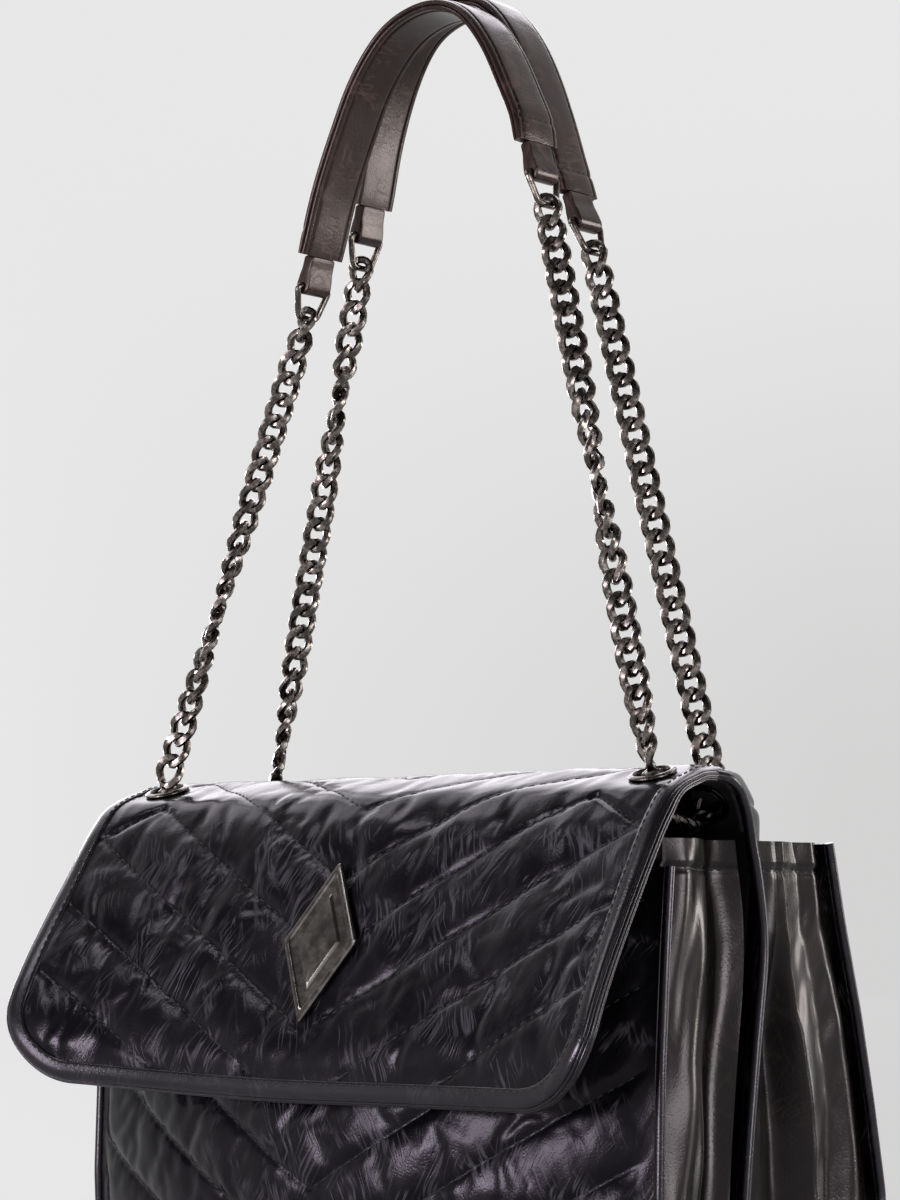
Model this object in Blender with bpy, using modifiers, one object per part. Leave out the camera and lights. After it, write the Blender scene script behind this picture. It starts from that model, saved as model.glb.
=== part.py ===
"""Flap shoulder bag: a stuffed main compartment, a rear compartment, a fold-over flap
on an arched crown, and two straps of chain with a leather shoulder pad.

Metres, +Z up, the front faces -Y, the origin is at the middle of the base's underside.
Run with: blender --background --python part.py
"""
import math

import bmesh
import bpy
import numpy as np
from mathutils import Matrix, Vector

for item in list(bpy.data.objects):
    bpy.data.objects.remove(item, do_unlink=True)

# Driving dimensions
BODY_WIDTH = 0.260
BODY_HEIGHT = 0.178
FRONT_DEPTH = 0.0714
REAR_DEPTH = 0.070
CROWN_RISE = 0.0216
FLAP_DROP = 0.1003
PAD_TOP = 0.4895
LEATHER = 0.0016
WADDING = 0.0014
LINING = 0.0010
FIT = 0.0003
PIPING_RADIUS = 0.0018
CUT_OVERRUN = 0.004
MERGE = 0.00001

UP = Vector((0, 0, 1))

bag = bpy.data.collections.new("flap_shoulder_bag")
cutters = bpy.data.collections.new("cutters")
for group in (bag, cutters):
    bpy.context.scene.collection.children.link(group)


# Materials
def finish(name, colour, roughness, metallic=0.0):
    """A Principled BSDF with one colour, roughness and metallic value."""
    material = bpy.data.materials.new(name)
    material.use_nodes = True
    shader = material.node_tree.nodes["Principled BSDF"]
    shader.inputs["Base Color"].default_value = (*colour, 1.0)
    shader.inputs["Roughness"].default_value = roughness
    shader.inputs["Metallic"].default_value = metallic
    return material


crinkled_leather = finish("crinkled_leather", (0.018, 0.017, 0.020), 0.30)
smooth_leather = finish("smooth_leather", (0.022, 0.019, 0.018), 0.26)
pad_leather = finish("pad_leather", (0.045, 0.022, 0.018), 0.34)
lining_suede = finish("lining_suede", (0.030, 0.028, 0.028), 0.85)
white_wadding = finish("white_wadding", (0.70, 0.69, 0.66), 0.95)
stiff_board = finish("stiff_board", (0.20, 0.17, 0.14), 0.80)
aged_gunmetal = finish("aged_gunmetal", (0.20, 0.18, 0.165), 0.33, 1.0)


# Objects and their carriers
def empty_at(name, place, parent=None):
    """An empty on a joint axis, which carries the pieces that move about it."""
    carrier = bpy.data.objects.new(name, None)
    bag.objects.link(carrier)
    carrier.location = place
    carrier["place"] = tuple(place)
    if parent is not None:
        carrier.parent = parent
        carrier.location = Vector(place) - Vector(parent["place"])
    return carrier


def add_piece(name, data, material, carrier=None):
    """Link a mesh or curve as a named piece and hang it on its carrier."""
    piece = bpy.data.objects.new(name, data)
    bag.objects.link(piece)
    data.materials.append(material)
    if carrier is not None:
        piece.parent = carrier
        piece.matrix_parent_inverse = Matrix.Translation(-Vector(carrier["place"]))
    return piece


def seat(piece, place, facing=UP):
    """Put a piece's own origin at a place, with its own Z turned to face a direction."""
    piece.location = place
    piece.rotation_euler = Vector(facing).to_track_quat("Z", "Y").to_euler()


def thicken(piece, thickness):
    """Give an open surface a wall on its inner side."""
    wall = piece.modifiers.new("wall", "SOLIDIFY")
    wall.thickness = thickness
    wall.offset = -1
    wall.use_even_offset = True
    wall.use_quality_normals = True


def cut(piece, cutter):
    """Cut a closed cutter out of a piece."""
    hole = piece.modifiers.new("hole", "BOOLEAN")
    hole.operation = "DIFFERENCE"
    hole.object = cutter


def join(piece, other):
    """Join a closed shape to a piece, as one body."""
    weld = piece.modifiers.new("weld", "BOOLEAN")
    weld.operation = "UNION"
    weld.object = other


def round_cutter(name, radius, length, place, facing):
    """A cylinder centred on a place, for holes."""
    shape = bmesh.new()
    bmesh.ops.create_cone(
        shape, cap_ends=True, segments=HOLE_SIDES, radius1=radius, radius2=radius, depth=length
    )
    mesh = bpy.data.meshes.new(name)
    shape.to_mesh(mesh)
    shape.free()
    cutter = bpy.data.objects.new(name, mesh)
    cutters.objects.link(cutter)
    seat(cutter, place, facing)
    cutter.hide_render = True
    cutter.display_type = "WIRE"
    return cutter


HOLE_SIDES = 14


# Formed sheets
def formed_sheet(name, columns, rows, surface, depth, thickness, material, carrier=None):
    """A sheet whose outer face lies a depth under a surface given over two shares.

    columns and rows are lists of shares from 0 to 1; surface takes one share of each and
    gives a point. Seen from outside, columns run to the right and rows run upwards.
    """
    shape = bmesh.new()
    bmesh.ops.create_grid(
        shape, x_segments=len(columns) - 1, y_segments=len(rows) - 1, size=1
    )
    for vertex in shape.verts:
        column = round((vertex.co.x + 1) / 2 * (len(columns) - 1))
        row = round((vertex.co.y + 1) / 2 * (len(rows) - 1))
        vertex.co = surface(columns[column], rows[row])
    shape.normal_update()
    sunk = [v.co - v.normal * depth * v.calc_shell_factor() for v in shape.verts]
    for vertex, point in zip(shape.verts, sunk):
        vertex.co = point
    mesh = bpy.data.meshes.new(name)
    shape.to_mesh(mesh)
    shape.free()
    mesh.shade_smooth()
    mesh.set_sharp_from_angle(angle=SHARP_ANGLE)
    piece = add_piece(name, mesh, material, carrier)
    thicken(piece, thickness)
    return piece


SHARP_ANGLE = math.radians(35)


def even_shares(count):
    """Evenly spread shares from 0 to 1."""
    return [step / count for step in range(count + 1)]


def table(shares, share):
    """Read a table of (share, value) pairs, straight between its entries."""
    return float(np.interp(share, [s for s, _ in shares], [v for _, v in shares]))


def along_path(points, share):
    """The point at a share of the length of a path of straight runs."""
    path = np.array(points, dtype=float)
    runs = np.linalg.norm(np.diff(path, axis=0), axis=1)
    reach = np.concatenate(([0.0], np.cumsum(runs))) / runs.sum()
    return [float(np.interp(share, reach, path[:, axis])) for axis in range(path.shape[1])]


def surface_frame(surface, across, up):
    """A surface's point and outward normal at two shares."""
    step = SMALL_SHARE
    low, high = max(across - step, 0), min(across + step, 1)
    below, above = max(up - step, 0), min(up + step, 1)
    run = Vector(surface(high, up)) - Vector(surface(low, up))
    rise = Vector(surface(across, above)) - Vector(surface(across, below))
    return Vector(surface(across, up)), run.cross(rise).normalized()


SMALL_SHARE = 0.004


def smooth_path(points, count):
    """Evenly spread points on a smooth curve through the given points."""
    path = np.array(points, dtype=float)
    before = 2 * path[0] - path[1]
    after = 2 * path[-1] - path[-2]
    padded = np.vstack((before, path, after))
    fine = []
    for index in range(len(path) - 1):
        a, b, c, d = padded[index:index + 4]
        for t in np.linspace(0, 1, CURVE_STEPS, endpoint=False):
            fine.append(
                (2 * b + (c - a) * t + (2 * a - 5 * b + 4 * c - d) * t**2
                 + (3 * b - a - 3 * c + d) * t**3) / 2
            )
    fine.append(path[-1])
    return [along_path(fine, share) for share in even_shares(count)]


CURVE_STEPS = 12


# Tubes
def tube(name, points, radius, material, carrier=None, closed=False, sides=2):
    """A round bar along straight runs between points, with closed ends."""
    curve = bpy.data.curves.new(name, "CURVE")
    curve.dimensions = "3D"
    curve.bevel_depth = radius
    curve.bevel_resolution = sides
    curve.use_fill_caps = not closed
    run = curve.splines.new("POLY")
    run.points.add(len(points) - 1)
    for knot, point in zip(run.points, points):
        knot.co = (*point, 1)
    run.use_cyclic_u = closed
    run.use_smooth = True
    return add_piece(name, curve, material, carrier)


# Turned pieces
def turned(name, profile, steps, material, carrier=None):
    """A closed profile of (radius, height) points swept round its own Z axis."""
    shape = bmesh.new()
    knots = [shape.verts.new((radius, 0, height)) for radius, height in profile]
    on_axis = profile[0][0] == 0
    pairs = zip(knots, knots[1:]) if on_axis else zip(knots, knots[1:] + knots[:1])
    for first, second in pairs:
        shape.edges.new((first, second))
    mesh = bpy.data.meshes.new(name)
    shape.to_mesh(mesh)
    shape.free()
    piece = add_piece(name, mesh, material, carrier)
    sweep = piece.modifiers.new("turn", "SCREW")
    sweep.steps = steps
    sweep.render_steps = steps
    sweep.use_merge_vertices = True
    sweep.merge_threshold = MERGE
    sweep.use_smooth_shade = True
    poles = piece.modifiers.new("poles", "WELD")
    poles.merge_threshold = MERGE
    return piece


TURN_STEPS = 12


# Creases of the crown, which the walls, the flap and the snap are set from
CREASE_RISE = 0.0040
FRONT_CREASE_RISE = 0.0065
REAR_CREASE_Y = 0.005
half_body = BODY_WIDTH / 2
rear_crease_z = BODY_HEIGHT + CREASE_RISE
front_crease_z = rear_crease_z + FRONT_CREASE_RISE
front_crease_y = -FRONT_DEPTH + FIT + LEATHER / 2

# Front wall: its outer face over a width and a height
FRONT_SETBACK = 0.010
FRONT_BULGE = 0.0275
SNAP_RISE = 0.0090
SNAP_FLAT = 0.0183
BASE_THICKNESS = 0.0022
LINING_INSET = 0.012
bulge_power_share = 0.72
front_edge_shares = ((0, 0.955), (0.33, 1.0), (0.6, 0.98), (0.85, 0.935), (1, 0.90))
front_low_shares = (0, 0.14, 0.33, 0.59, 0.80)
front_high_shares = (0, 0.335, 0.68, 1)
piping_out = PIPING_RADIUS + FIT
wall_foot = 2 * PIPING_RADIUS + 2 * FIT
front_height = BODY_HEIGHT - FRONT_SETBACK
wadding_depth = LEATHER + FIT
lining_depth = LEATHER + WADDING + 2 * FIT
snap_z = front_crease_z - FLAP_DROP + SNAP_RISE


def front_y(x, z):
    """Depth of the front wall's outer face: its side edges, and a bulge between them."""
    share = min(max(z / front_height, 0), 1)
    lift = min(max((z - wall_foot) / (front_height - wall_foot), 0), 1)
    across = max(1 - (x / half_body) ** 2, 0)
    swell = math.sin(math.pi * lift**bulge_power_share) * across
    return -FRONT_DEPTH * table(front_edge_shares, share) - FRONT_BULGE * swell


def front_wall(across, up):
    """The front wall's outer face, its columns from the left."""
    x = half_body * (2 * across - 1)
    z = wall_foot + (front_height - wall_foot) * up
    return x, front_y(x, z), z


def inset_columns(width, count):
    """Even columns, with one more set in from each edge for the linings to end at."""
    inset = LINING_INSET / width
    inner = [inset + (1 - 2 * inset) * share for share in even_shares(count)]
    return [0, *inner, 1]


FRONT_COLUMNS = inset_columns(BODY_WIDTH, 8)
snap_low = (snap_z - SNAP_FLAT / 2 - wall_foot) / (front_height - wall_foot)
snap_high = (snap_z + SNAP_FLAT / 2 - wall_foot) / (front_height - wall_foot)
FRONT_ROWS = [snap_low * share for share in front_low_shares]
FRONT_ROWS += [snap_low]
FRONT_ROWS += [snap_high + (1 - snap_high) * share for share in front_high_shares]
front_panel = formed_sheet(
    "front_panel", FRONT_COLUMNS, FRONT_ROWS, front_wall, 0, LEATHER, crinkled_leather
)
front_wadding = formed_sheet(
    "front_wadding", FRONT_COLUMNS[1:-1], FRONT_ROWS[:-1], front_wall, wadding_depth,
    WADDING, white_wadding,
)
front_lining = formed_sheet(
    "front_lining", FRONT_COLUMNS[1:-1], FRONT_ROWS, front_wall, lining_depth, LINING,
    lining_suede,
)

# Back wall: one panel that rises from the base to the crown's rear crease
FOOT_INSET = 0.002
HEAD_FLARE = 0.001
BACK_TUCK = 0.020
flat_share = 0.925
back_foot_half = half_body - FOOT_INSET
back_head_half = half_body + HEAD_FLARE
back_lean_shares = (
    (0, -2.6), (0.29, -2.1), (0.47, -1.3), (0.64, -0.4), (0.78, 0.5), (0.92, 1.0), (1, 1.0)
)
back_tuck_shares = (
    (0, 0.30), (0.47, 0.32), (0.64, 0.34), (0.78, 0.36), (0.92, 0.75), (1, 1.0)
)
back_foot = BASE_THICKNESS + FIT
back_head = rear_crease_z - FIT / 2


def back_half(z):
    """Half the back wall's width at a height."""
    share = min(max(z / rear_crease_z, 0), 1)
    return back_foot_half + (back_head_half - back_foot_half) * share


def edge_tuck(x, half):
    """How far a place is into the strip that turns forward at each side edge, 0 to 1."""
    return min(max((abs(x) / half - flat_share) / (1 - flat_share), 0), 1)


def back_y(x, z):
    """Depth of the back wall's rear face: its middle, less the tuck of its side edges."""
    share = min(max(z / rear_crease_z, 0), 1)
    tuck = BACK_TUCK * table(back_tuck_shares, share) * edge_tuck(x, back_half(z))
    return REAR_CREASE_Y * table(back_lean_shares, share) - tuck


def back_wall(across, up):
    """The back wall's rear face, its columns from the left of a viewer behind it."""
    z = back_foot + (back_head - back_foot) * up
    x = back_half(z) * (1 - 2 * across)
    return x, back_y(x, z), z


edge_share = (1 - flat_share) / 2
lining_share = LINING_INSET / (2 * back_foot_half)
BACK_COLUMNS = [
    0, edge_share / 2, edge_share, lining_share, 0.2, 0.35, 0.5, 0.65, 0.8,
    1 - lining_share, 1 - edge_share, 1 - edge_share / 2, 1,
]
BACK_ROWS = [0, 0.29, 0.47, 0.64, 0.78, 0.92, 1]
back_lining_depth = LEATHER + FIT
pocket_depth = back_lining_depth + LINING + FIT
back_panel = formed_sheet(
    "back_panel", BACK_COLUMNS, BACK_ROWS, back_wall, 0, LEATHER, crinkled_leather
)
back_lining = formed_sheet(
    "back_lining", BACK_COLUMNS[3:-3], BACK_ROWS, back_wall, back_lining_depth, LINING,
    lining_suede,
)
slip_pocket = formed_sheet(
    "slip_pocket", BACK_COLUMNS[4:-4], BACK_ROWS[2:5], back_wall, pocket_depth, LINING,
    lining_suede,
)

# Rear compartment's outer wall
REAR_BULGE = 0.007
rear_half = half_body - FOOT_INSET
rear_edge_shares = (
    (0, 0.94), (0.12, 0.99), (0.27, 1.0), (0.46, 0.90), (0.64, 0.79), (0.84, 0.64), (1, 0.54)
)


def rear_y(x, z):
    """Depth of the rear wall's outer face."""
    share = min(max((z - wall_foot) / (BODY_HEIGHT - wall_foot), 0), 1)
    swell = max(1 - (x / rear_half) ** 2, 0) * math.sin(math.pi * share) ** 2
    return REAR_DEPTH * table(rear_edge_shares, share) + REAR_BULGE * swell


def rear_wall(across, up):
    """The rear wall's outer face, its columns from the left of a viewer behind it."""
    x = rear_half * (1 - 2 * across)
    z = wall_foot + (BODY_HEIGHT - wall_foot) * up
    return x, rear_y(x, z), z


REAR_COLUMNS = inset_columns(2 * rear_half, 6)
REAR_ROWS = [share for share, _ in rear_edge_shares]
rear_panel = formed_sheet(
    "rear_panel", REAR_COLUMNS, REAR_ROWS, rear_wall, 0, LEATHER, crinkled_leather
)
rear_lining = formed_sheet(
    "rear_lining", REAR_COLUMNS[1:-1], REAR_ROWS, rear_wall, LEATHER + FIT, LINING,
    lining_suede,
)

# Side gussets of the main compartment: two outward pleats with valleys between
GUSSET = 0.0013
GUSSET_INSET = 0.0015
GUSSET_PLEAT = 0.0125
GUSSET_SEAM = 0.0022
gusset_crest = half_body - GUSSET_INSET
gusset_valley = gusset_crest - GUSSET_PLEAT
main_pleat_shares = (
    (0, 0.95), (0.06, 0.45), (0.12, 0.15), (0.19, 0.72), (0.27, 0.96), (0.38, 1.0),
    (0.49, 0.90), (0.57, 0.50), (0.64, 0.15), (0.72, 0.55), (0.79, 0.62), (0.86, 0.20),
    (0.93, 0.30), (1, 0.72),
)
gusset_foot = BASE_THICKNESS + 2 * FIT
GUSSET_ROWS = even_shares(5)


def main_gusset(side):
    """The side between the front and back walls: the right one for side 1."""
    def surface(across, up):
        along = across if side > 0 else 1 - across
        z = gusset_foot + (BODY_HEIGHT - gusset_foot) * up
        out = table(main_pleat_shares, along)
        x = gusset_valley + (gusset_crest - gusset_valley) * out
        start = front_y(half_body, min(z, front_height)) + LEATHER + GUSSET_SEAM
        end = back_y(gusset_crest, z) - LEATHER - GUSSET_SEAM
        return side * x, start + (end - start) * along, z
    return surface


# Side gussets of the rear compartment: a valley, a pinched fold and one full pleat
PINCH_TOP = 0.0075
PINCH_FOOT = 0.0266
PLEAT_DIP = 0.0015
REAR_VALLEY = 0.014
pinch_shares = ((0, 1.0), (0.28, 1.0), (0.44, 0.93), (0.62, 0.68), (0.82, 0.24), (1, 0))
valley_shares = ((0, 1.0), (0.62, 1.0), (0.82, 0.30), (1, 0.10))
REAR_FOLDS = even_shares(7)


def rear_gusset(side):
    """The side between the back and rear walls: the right one for side 1."""
    def surface(across, up):
        along = across if side > 0 else 1 - across
        z = gusset_foot + (BODY_HEIGHT - gusset_foot) * up
        share = z / BODY_HEIGHT
        seam_x = gusset_crest - GUSSET_SEAM
        start = back_y(seam_x - GUSSET, z) + GUSSET_SEAM
        pinch = PINCH_TOP + (PINCH_FOOT - PINCH_TOP) * table(pinch_shares, share)
        end = rear_y(rear_half, z) - LEATHER - GUSSET_SEAM
        valley = half_body - REAR_VALLEY * table(valley_shares, share)
        folds = (
            (seam_x, start),
            (valley, start + (pinch - start) * 0.45),
            (valley, start + (pinch - start) * 0.65),
            (half_body, pinch),
            (half_body - PLEAT_DIP, pinch + (end - pinch) * 0.15),
            (half_body, pinch + (end - pinch) * 0.45),
            (half_body - PLEAT_DIP, pinch + (end - pinch) * 0.8),
            (rear_half - GUSSET_SEAM, end),
        )
        x, y = folds[round(along * (len(folds) - 1))]
        return side * x, y, z
    return surface


main_folds = [share for share, _ in main_pleat_shares]
for side, word in ((-1, "left"), (1, "right")):
    folds = main_folds if side > 0 else [1 - share for share in reversed(main_folds)]
    formed_sheet(
        f"main_gusset_{word}", folds, GUSSET_ROWS, main_gusset(side), 0, GUSSET, smooth_leather
    )
    formed_sheet(
        f"rear_gusset_{word}", REAR_FOLDS, GUSSET_ROWS, rear_gusset(side), 0, GUSSET,
        smooth_leather,
    )

# Piping in the seams of the front and rear walls, down both sides and along the foot
PIPING_SIDES = 1
PIPING_STOP = 0.0006
seam_sink = LEATHER / 2
foot_run_z = PIPING_RADIUS + FIT


def wall_piping(name, surface, half, rows):
    """A piping down one side edge of a wall, along its foot and up the other side."""
    left, right = [], []
    for share in reversed(rows):
        for points, across in ((left, 0), (right, 1)):
            x, y, z = surface(across, share)
            inward = seam_sink if y < 0 else -seam_sink
            points.append((math.copysign(half + piping_out, x), y + inward, z))
    turn_y = left[-1][1]
    corners = [
        (math.copysign(half + piping_out - PIPING_RADIUS / 2, points[-1][0]), turn_y, foot_run_z)
        for points in (left, right)
    ]
    tube(
        name, [*left, *corners, *reversed(right)], PIPING_RADIUS, smooth_leather,
        sides=PIPING_SIDES,
    )
    return turn_y


front_foot_y = wall_piping("front_piping", front_wall, half_body, FRONT_ROWS)
rear_foot_y = wall_piping("rear_piping", rear_wall, rear_half, REAR_ROWS)
for side, word in ((-1, "left"), (1, "right")):
    edge = [Vector(back_wall(0 if side > 0 else 1, share)) for share in BACK_ROWS]
    run = [point + Vector((side * piping_out, -seam_sink, 0)) for point in edge]
    run[0].z += PIPING_STOP
    run[-1].z -= PIPING_STOP
    tube(f"back_piping_{word}", run, PIPING_RADIUS, smooth_leather, sides=PIPING_SIDES)

# Base: a leather-covered panel that the bag stands on, and a board inside
BOARD_THICKNESS = 0.0015
BOARD_MARGIN = 0.0030
BASE_BEVEL = 0.0006


def slab(name, low, high, material, bevel=0):
    """A flat panel between two corners."""
    shape = bmesh.new()
    bmesh.ops.create_cube(shape, size=1)
    size = [b - a for a, b in zip(low, high)]
    bmesh.ops.scale(shape, vec=size, verts=shape.verts)
    mesh = bpy.data.meshes.new(name)
    shape.to_mesh(mesh)
    shape.free()
    piece = add_piece(name, mesh, material)
    piece.location = [(a + b) / 2 for a, b in zip(low, high)]
    if bevel:
        edge = piece.modifiers.new("edge", "BEVEL")
        edge.width = bevel
        edge.segments = 1
    return piece


base_front = front_foot_y + piping_out
base_rear = rear_foot_y - piping_out
slab(
    "base_panel", (-half_body, base_front, 0), (half_body, base_rear, BASE_THICKNESS),
    smooth_leather, BASE_BEVEL,
)
board_half = gusset_valley - GUSSET - BOARD_MARGIN
board_front = front_y(half_body, wall_foot) + lining_depth + LINING + BOARD_MARGIN
board_rear = back_y(0, 0) - pocket_depth - BOARD_MARGIN
slab(
    "base_board", (-board_half, board_front, BASE_THICKNESS + FIT),
    (board_half, board_rear, BASE_THICKNESS + FIT + BOARD_THICKNESS), stiff_board,
)

# Crown: the arched top of the flap between its two creases
CROWN_OVERHANG = 0.005
HINGE_LIFT = 0.0009
crown_half = half_body + CROWN_OVERHANG
crown_depth = REAR_CREASE_Y - front_crease_y
crease_share = FRONT_CREASE_RISE / CROWN_RISE
crown_middle_shares = (
    (0, crease_share), (0.06, 0.551), (0.113, 0.657), (0.393, 0.981), (0.587, 1.0), (0.793, 0.889),
    (0.973, 0.255), (1.0, 0.139), (1.0, 0),
)
crown_end_shares = (
    (0, crease_share), (0.06, 0.551), (0.187, 0.718), (0.32, 0.861), (0.467, 0.875), (0.58, 0.694),
    (0.667, 0.37), (0.733, 0.16), (0.733, 0),
)
crown_narrow_shares = (0, 0, 0, 0, 0, 0.1, 0.55, 0.9, 1.0)
CROWN_ROWS = even_shares(len(crown_middle_shares) - 1)
CROWN_COLUMNS = [0, edge_share / 2, edge_share, 0.3, 0.7, 1 - edge_share, 1 - edge_share / 2, 1]


def crown_section(row, tuck):
    """Depth and height of the crown's outer face at one row of its section."""
    middle = crown_middle_shares[row]
    end = crown_end_shares[row]
    depth = middle[0] + (end[0] - middle[0]) * tuck
    rise = middle[1] + (end[1] - middle[1]) * tuck
    return front_crease_y + crown_depth * depth, rear_crease_z + CROWN_RISE * rise


crease_rise = Vector((0, *crown_section(1, 0))) - Vector((0, *crown_section(0, 0)))
crease_up = crease_rise.normalized()
crease_out = Vector((1, 0, 0)).cross(crease_up)


def crown_surface(across, up):
    """The crown's outer face, its columns from the left, its rows from the front crease."""
    row = round(up * (len(crown_middle_shares) - 1))
    half = crown_half - (crown_half - back_head_half) * crown_narrow_shares[row]
    x = half * (2 * across - 1)
    y, z = crown_section(row, edge_tuck(x, half))
    if row == 0:
        y, z = y + crease_up.y * FIT / 2, z + crease_up.z * FIT / 2
    if row == len(crown_middle_shares) - 1:
        z += FIT / 2
    return x, y, z


front_crease = Vector((0, *crown_section(0, 0)))
crown_hinge = empty_at("crown_hinge", (0, REAR_CREASE_Y + HINGE_LIFT, rear_crease_z))
flap_hinge = empty_at("flap_hinge", front_crease + crease_out * HINGE_LIFT, crown_hinge)
crown_leather = formed_sheet(
    "crown_leather", CROWN_COLUMNS, CROWN_ROWS, crown_surface, 0, LEATHER, crinkled_leather,
    crown_hinge,
)
crown_lining = formed_sheet(
    "crown_lining", CROWN_COLUMNS, CROWN_ROWS, crown_surface, LEATHER + FIT, LINING,
    lining_suede, crown_hinge,
)
crown_sink = (LEATHER + FIT + LINING) / 2
for side, word in ((-1, "left"), (1, "right")):
    run = []
    for share in CROWN_ROWS:
        point, out = surface_frame(crown_surface, 0 if side < 0 else 1, share)
        out.x = 0
        run.append(point + Vector((side * piping_out, 0, 0)) - out.normalized() * crown_sink)
    run[0] += crease_up * PIPING_STOP
    run[-1].z += PIPING_STOP
    tube(
        f"crown_piping_{word}", run, PIPING_RADIUS, smooth_leather, crown_hinge,
        sides=PIPING_SIDES,
    )

# Eyelets: turned flanges with a barrel through the crown, each closed by a washer inside
EYELET_BORE = 0.0063
EYELET_BARREL = 0.0071
EYELET_FLANGE = 0.0087
FLANGE_THICKNESS = 0.0012
FLANGE_EDGE = 0.0004
WASHER_THICKNESS = 0.0009
WASHER_RIM = 0.0088
BARREL_LIP = 0.0004
FRONT_EYELET_INSET = 0.019
REAR_EYELET_INSET = 0.028
front_eyelet_share = 0.25
rear_eyelet_share = 0.88
crown_wall = LEATHER + LINING + 2 * FIT
hole_radius = EYELET_BARREL + FIT


def crown_seat(depth_share, x):
    """The middle of the flat at a share of the crown's depth, and the way it faces."""
    row = sum(share <= depth_share for share, _ in crown_middle_shares) - 1
    low = Vector((x, *crown_section(row, 0)))
    high = Vector((x, *crown_section(row + 1, 0)))
    return (low + high) / 2, Vector((1, 0, 0)).cross(high - low).normalized()


eyelet_seats = {}
for side, word in ((-1, "left"), (1, "right")):
    reach = side * (crown_half - FRONT_EYELET_INSET)
    eyelet_seats[f"front_{word}"] = crown_seat(front_eyelet_share, reach)
    reach = side * (crown_half - REAR_EYELET_INSET)
    eyelet_seats[f"rear_{word}"] = crown_seat(rear_eyelet_share, reach)
barrel_end = -crown_wall - WASHER_THICKNESS - BARREL_LIP
for word, (place, facing) in eyelet_seats.items():
    hole = round_cutter(f"{word}_hole", hole_radius, 2 * CUT_OVERRUN, place, facing)
    cut(crown_leather, hole)
    cut(crown_lining, hole)
    eyelet = turned(
        f"eyelet_{word}",
        [
            (EYELET_FLANGE - FLANGE_EDGE, FIT + FLANGE_THICKNESS),
            (EYELET_FLANGE, FIT + FLANGE_THICKNESS - FLANGE_EDGE),
            (EYELET_FLANGE, FIT),
            (EYELET_BARREL, FIT),
            (EYELET_BARREL, barrel_end),
            (EYELET_BORE, barrel_end),
            (EYELET_BORE, FIT + FLANGE_THICKNESS),
        ],
        TURN_STEPS, aged_gunmetal, crown_hinge,
    )
    seat(eyelet, place, facing)
    washer = turned(
        f"eyelet_washer_{word}",
        [
            (WASHER_RIM, -crown_wall),
            (WASHER_RIM, -crown_wall - WASHER_THICKNESS),
            (hole_radius, -crown_wall - WASHER_THICKNESS),
            (hole_radius, -crown_wall),
        ],
        TURN_STEPS, aged_gunmetal, crown_hinge,
    )
    seat(washer, place, facing)

# Chain: flat curb links, every second one turned the other way
LINK_PITCH = 0.0087
LINK_WIDTH = 0.0110
WIRE_RADIUS = 0.00138
LINK_BITE = 0.0006
CURB_TILT = math.radians(40)
HINGE_HEIGHT = 0.0035
STRAND_TAIL = 0.0015
arc_share = math.sin(math.radians(60))
wire_half_width = LINK_WIDTH / 2 - WIRE_RADIUS
wire_reach = LINK_PITCH / 2 + WIRE_RADIUS - LINK_BITE / 2
link_overhang = wire_reach + WIRE_RADIUS - LINK_PITCH / 2
straight_half = wire_reach - wire_half_width * arc_share


def link_mesh():
    """One oval link, standing on end along Z with its width along X."""
    corners = [
        (1, 0, -1), (1, 0, 1), (0.5, arc_share, 1), (-0.5, arc_share, 1),
        (-1, 0, 1), (-1, 0, -1), (-0.5, -arc_share, -1), (0.5, -arc_share, -1),
    ]
    points = [
        (x * wire_half_width, 0, straight_half * end + wire_half_width * rise)
        for x, rise, end in corners
    ]
    wire = tube("link", points, WIRE_RADIUS, aged_gunmetal, closed=True, sides=0)
    bpy.context.view_layer.update()
    mesh = bpy.data.meshes.new_from_object(
        wire.evaluated_get(bpy.context.evaluated_depsgraph_get())
    )
    bpy.data.objects.remove(wire, do_unlink=True)
    return mesh


one_link = link_mesh()


def chain(name, joints, turns, carrier):
    """A run of links, each from one joint of a path to the next.

    turns is a table of (share of the run, degrees) for the way the chain's width faces,
    measured from +X about the run. The links of one set touch none of their own set, so
    the two sets join into one body.
    """
    sets = (bmesh.new(), bmesh.new())
    count = len(joints) - 1
    for index, (low, high) in enumerate(zip(joints, joints[1:])):
        along = (Vector(high) - Vector(low)).normalized()
        flat = (Vector((1, 0, 0)) - along * along.x).normalized()
        turn = math.radians(table(turns, index / (count - 1)))
        turn += CURB_TILT * (-1) ** (count - 1 - index)
        wide = Matrix.Rotation(turn, 3, along) @ flat
        basis = Matrix((wide, along.cross(wide), along)).transposed().to_4x4()
        links = sets[index % 2]
        known = len(links.verts)
        links.from_mesh(one_link)
        links.verts.ensure_lookup_table()
        place = Matrix.Translation((Vector(low) + Vector(high)) / 2)
        bmesh.ops.transform(links, matrix=place @ basis, verts=links.verts[known:])
    meshes = [bpy.data.meshes.new(name), bpy.data.meshes.new(f"{name}_between")]
    for links, mesh in zip(sets, meshes):
        bmesh.ops.recalc_face_normals(links, faces=links.faces)
        links.to_mesh(mesh)
        links.free()
        mesh.shade_smooth()
        mesh.set_sharp_from_angle(angle=SHARP_ANGLE)
    piece = add_piece(name, meshes[0], aged_gunmetal, carrier)
    between = bpy.data.objects.new(f"{name}_between", meshes[1])
    cutters.objects.link(between)
    between.hide_render = True
    between.display_type = "WIRE"
    join(piece, between)


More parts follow.
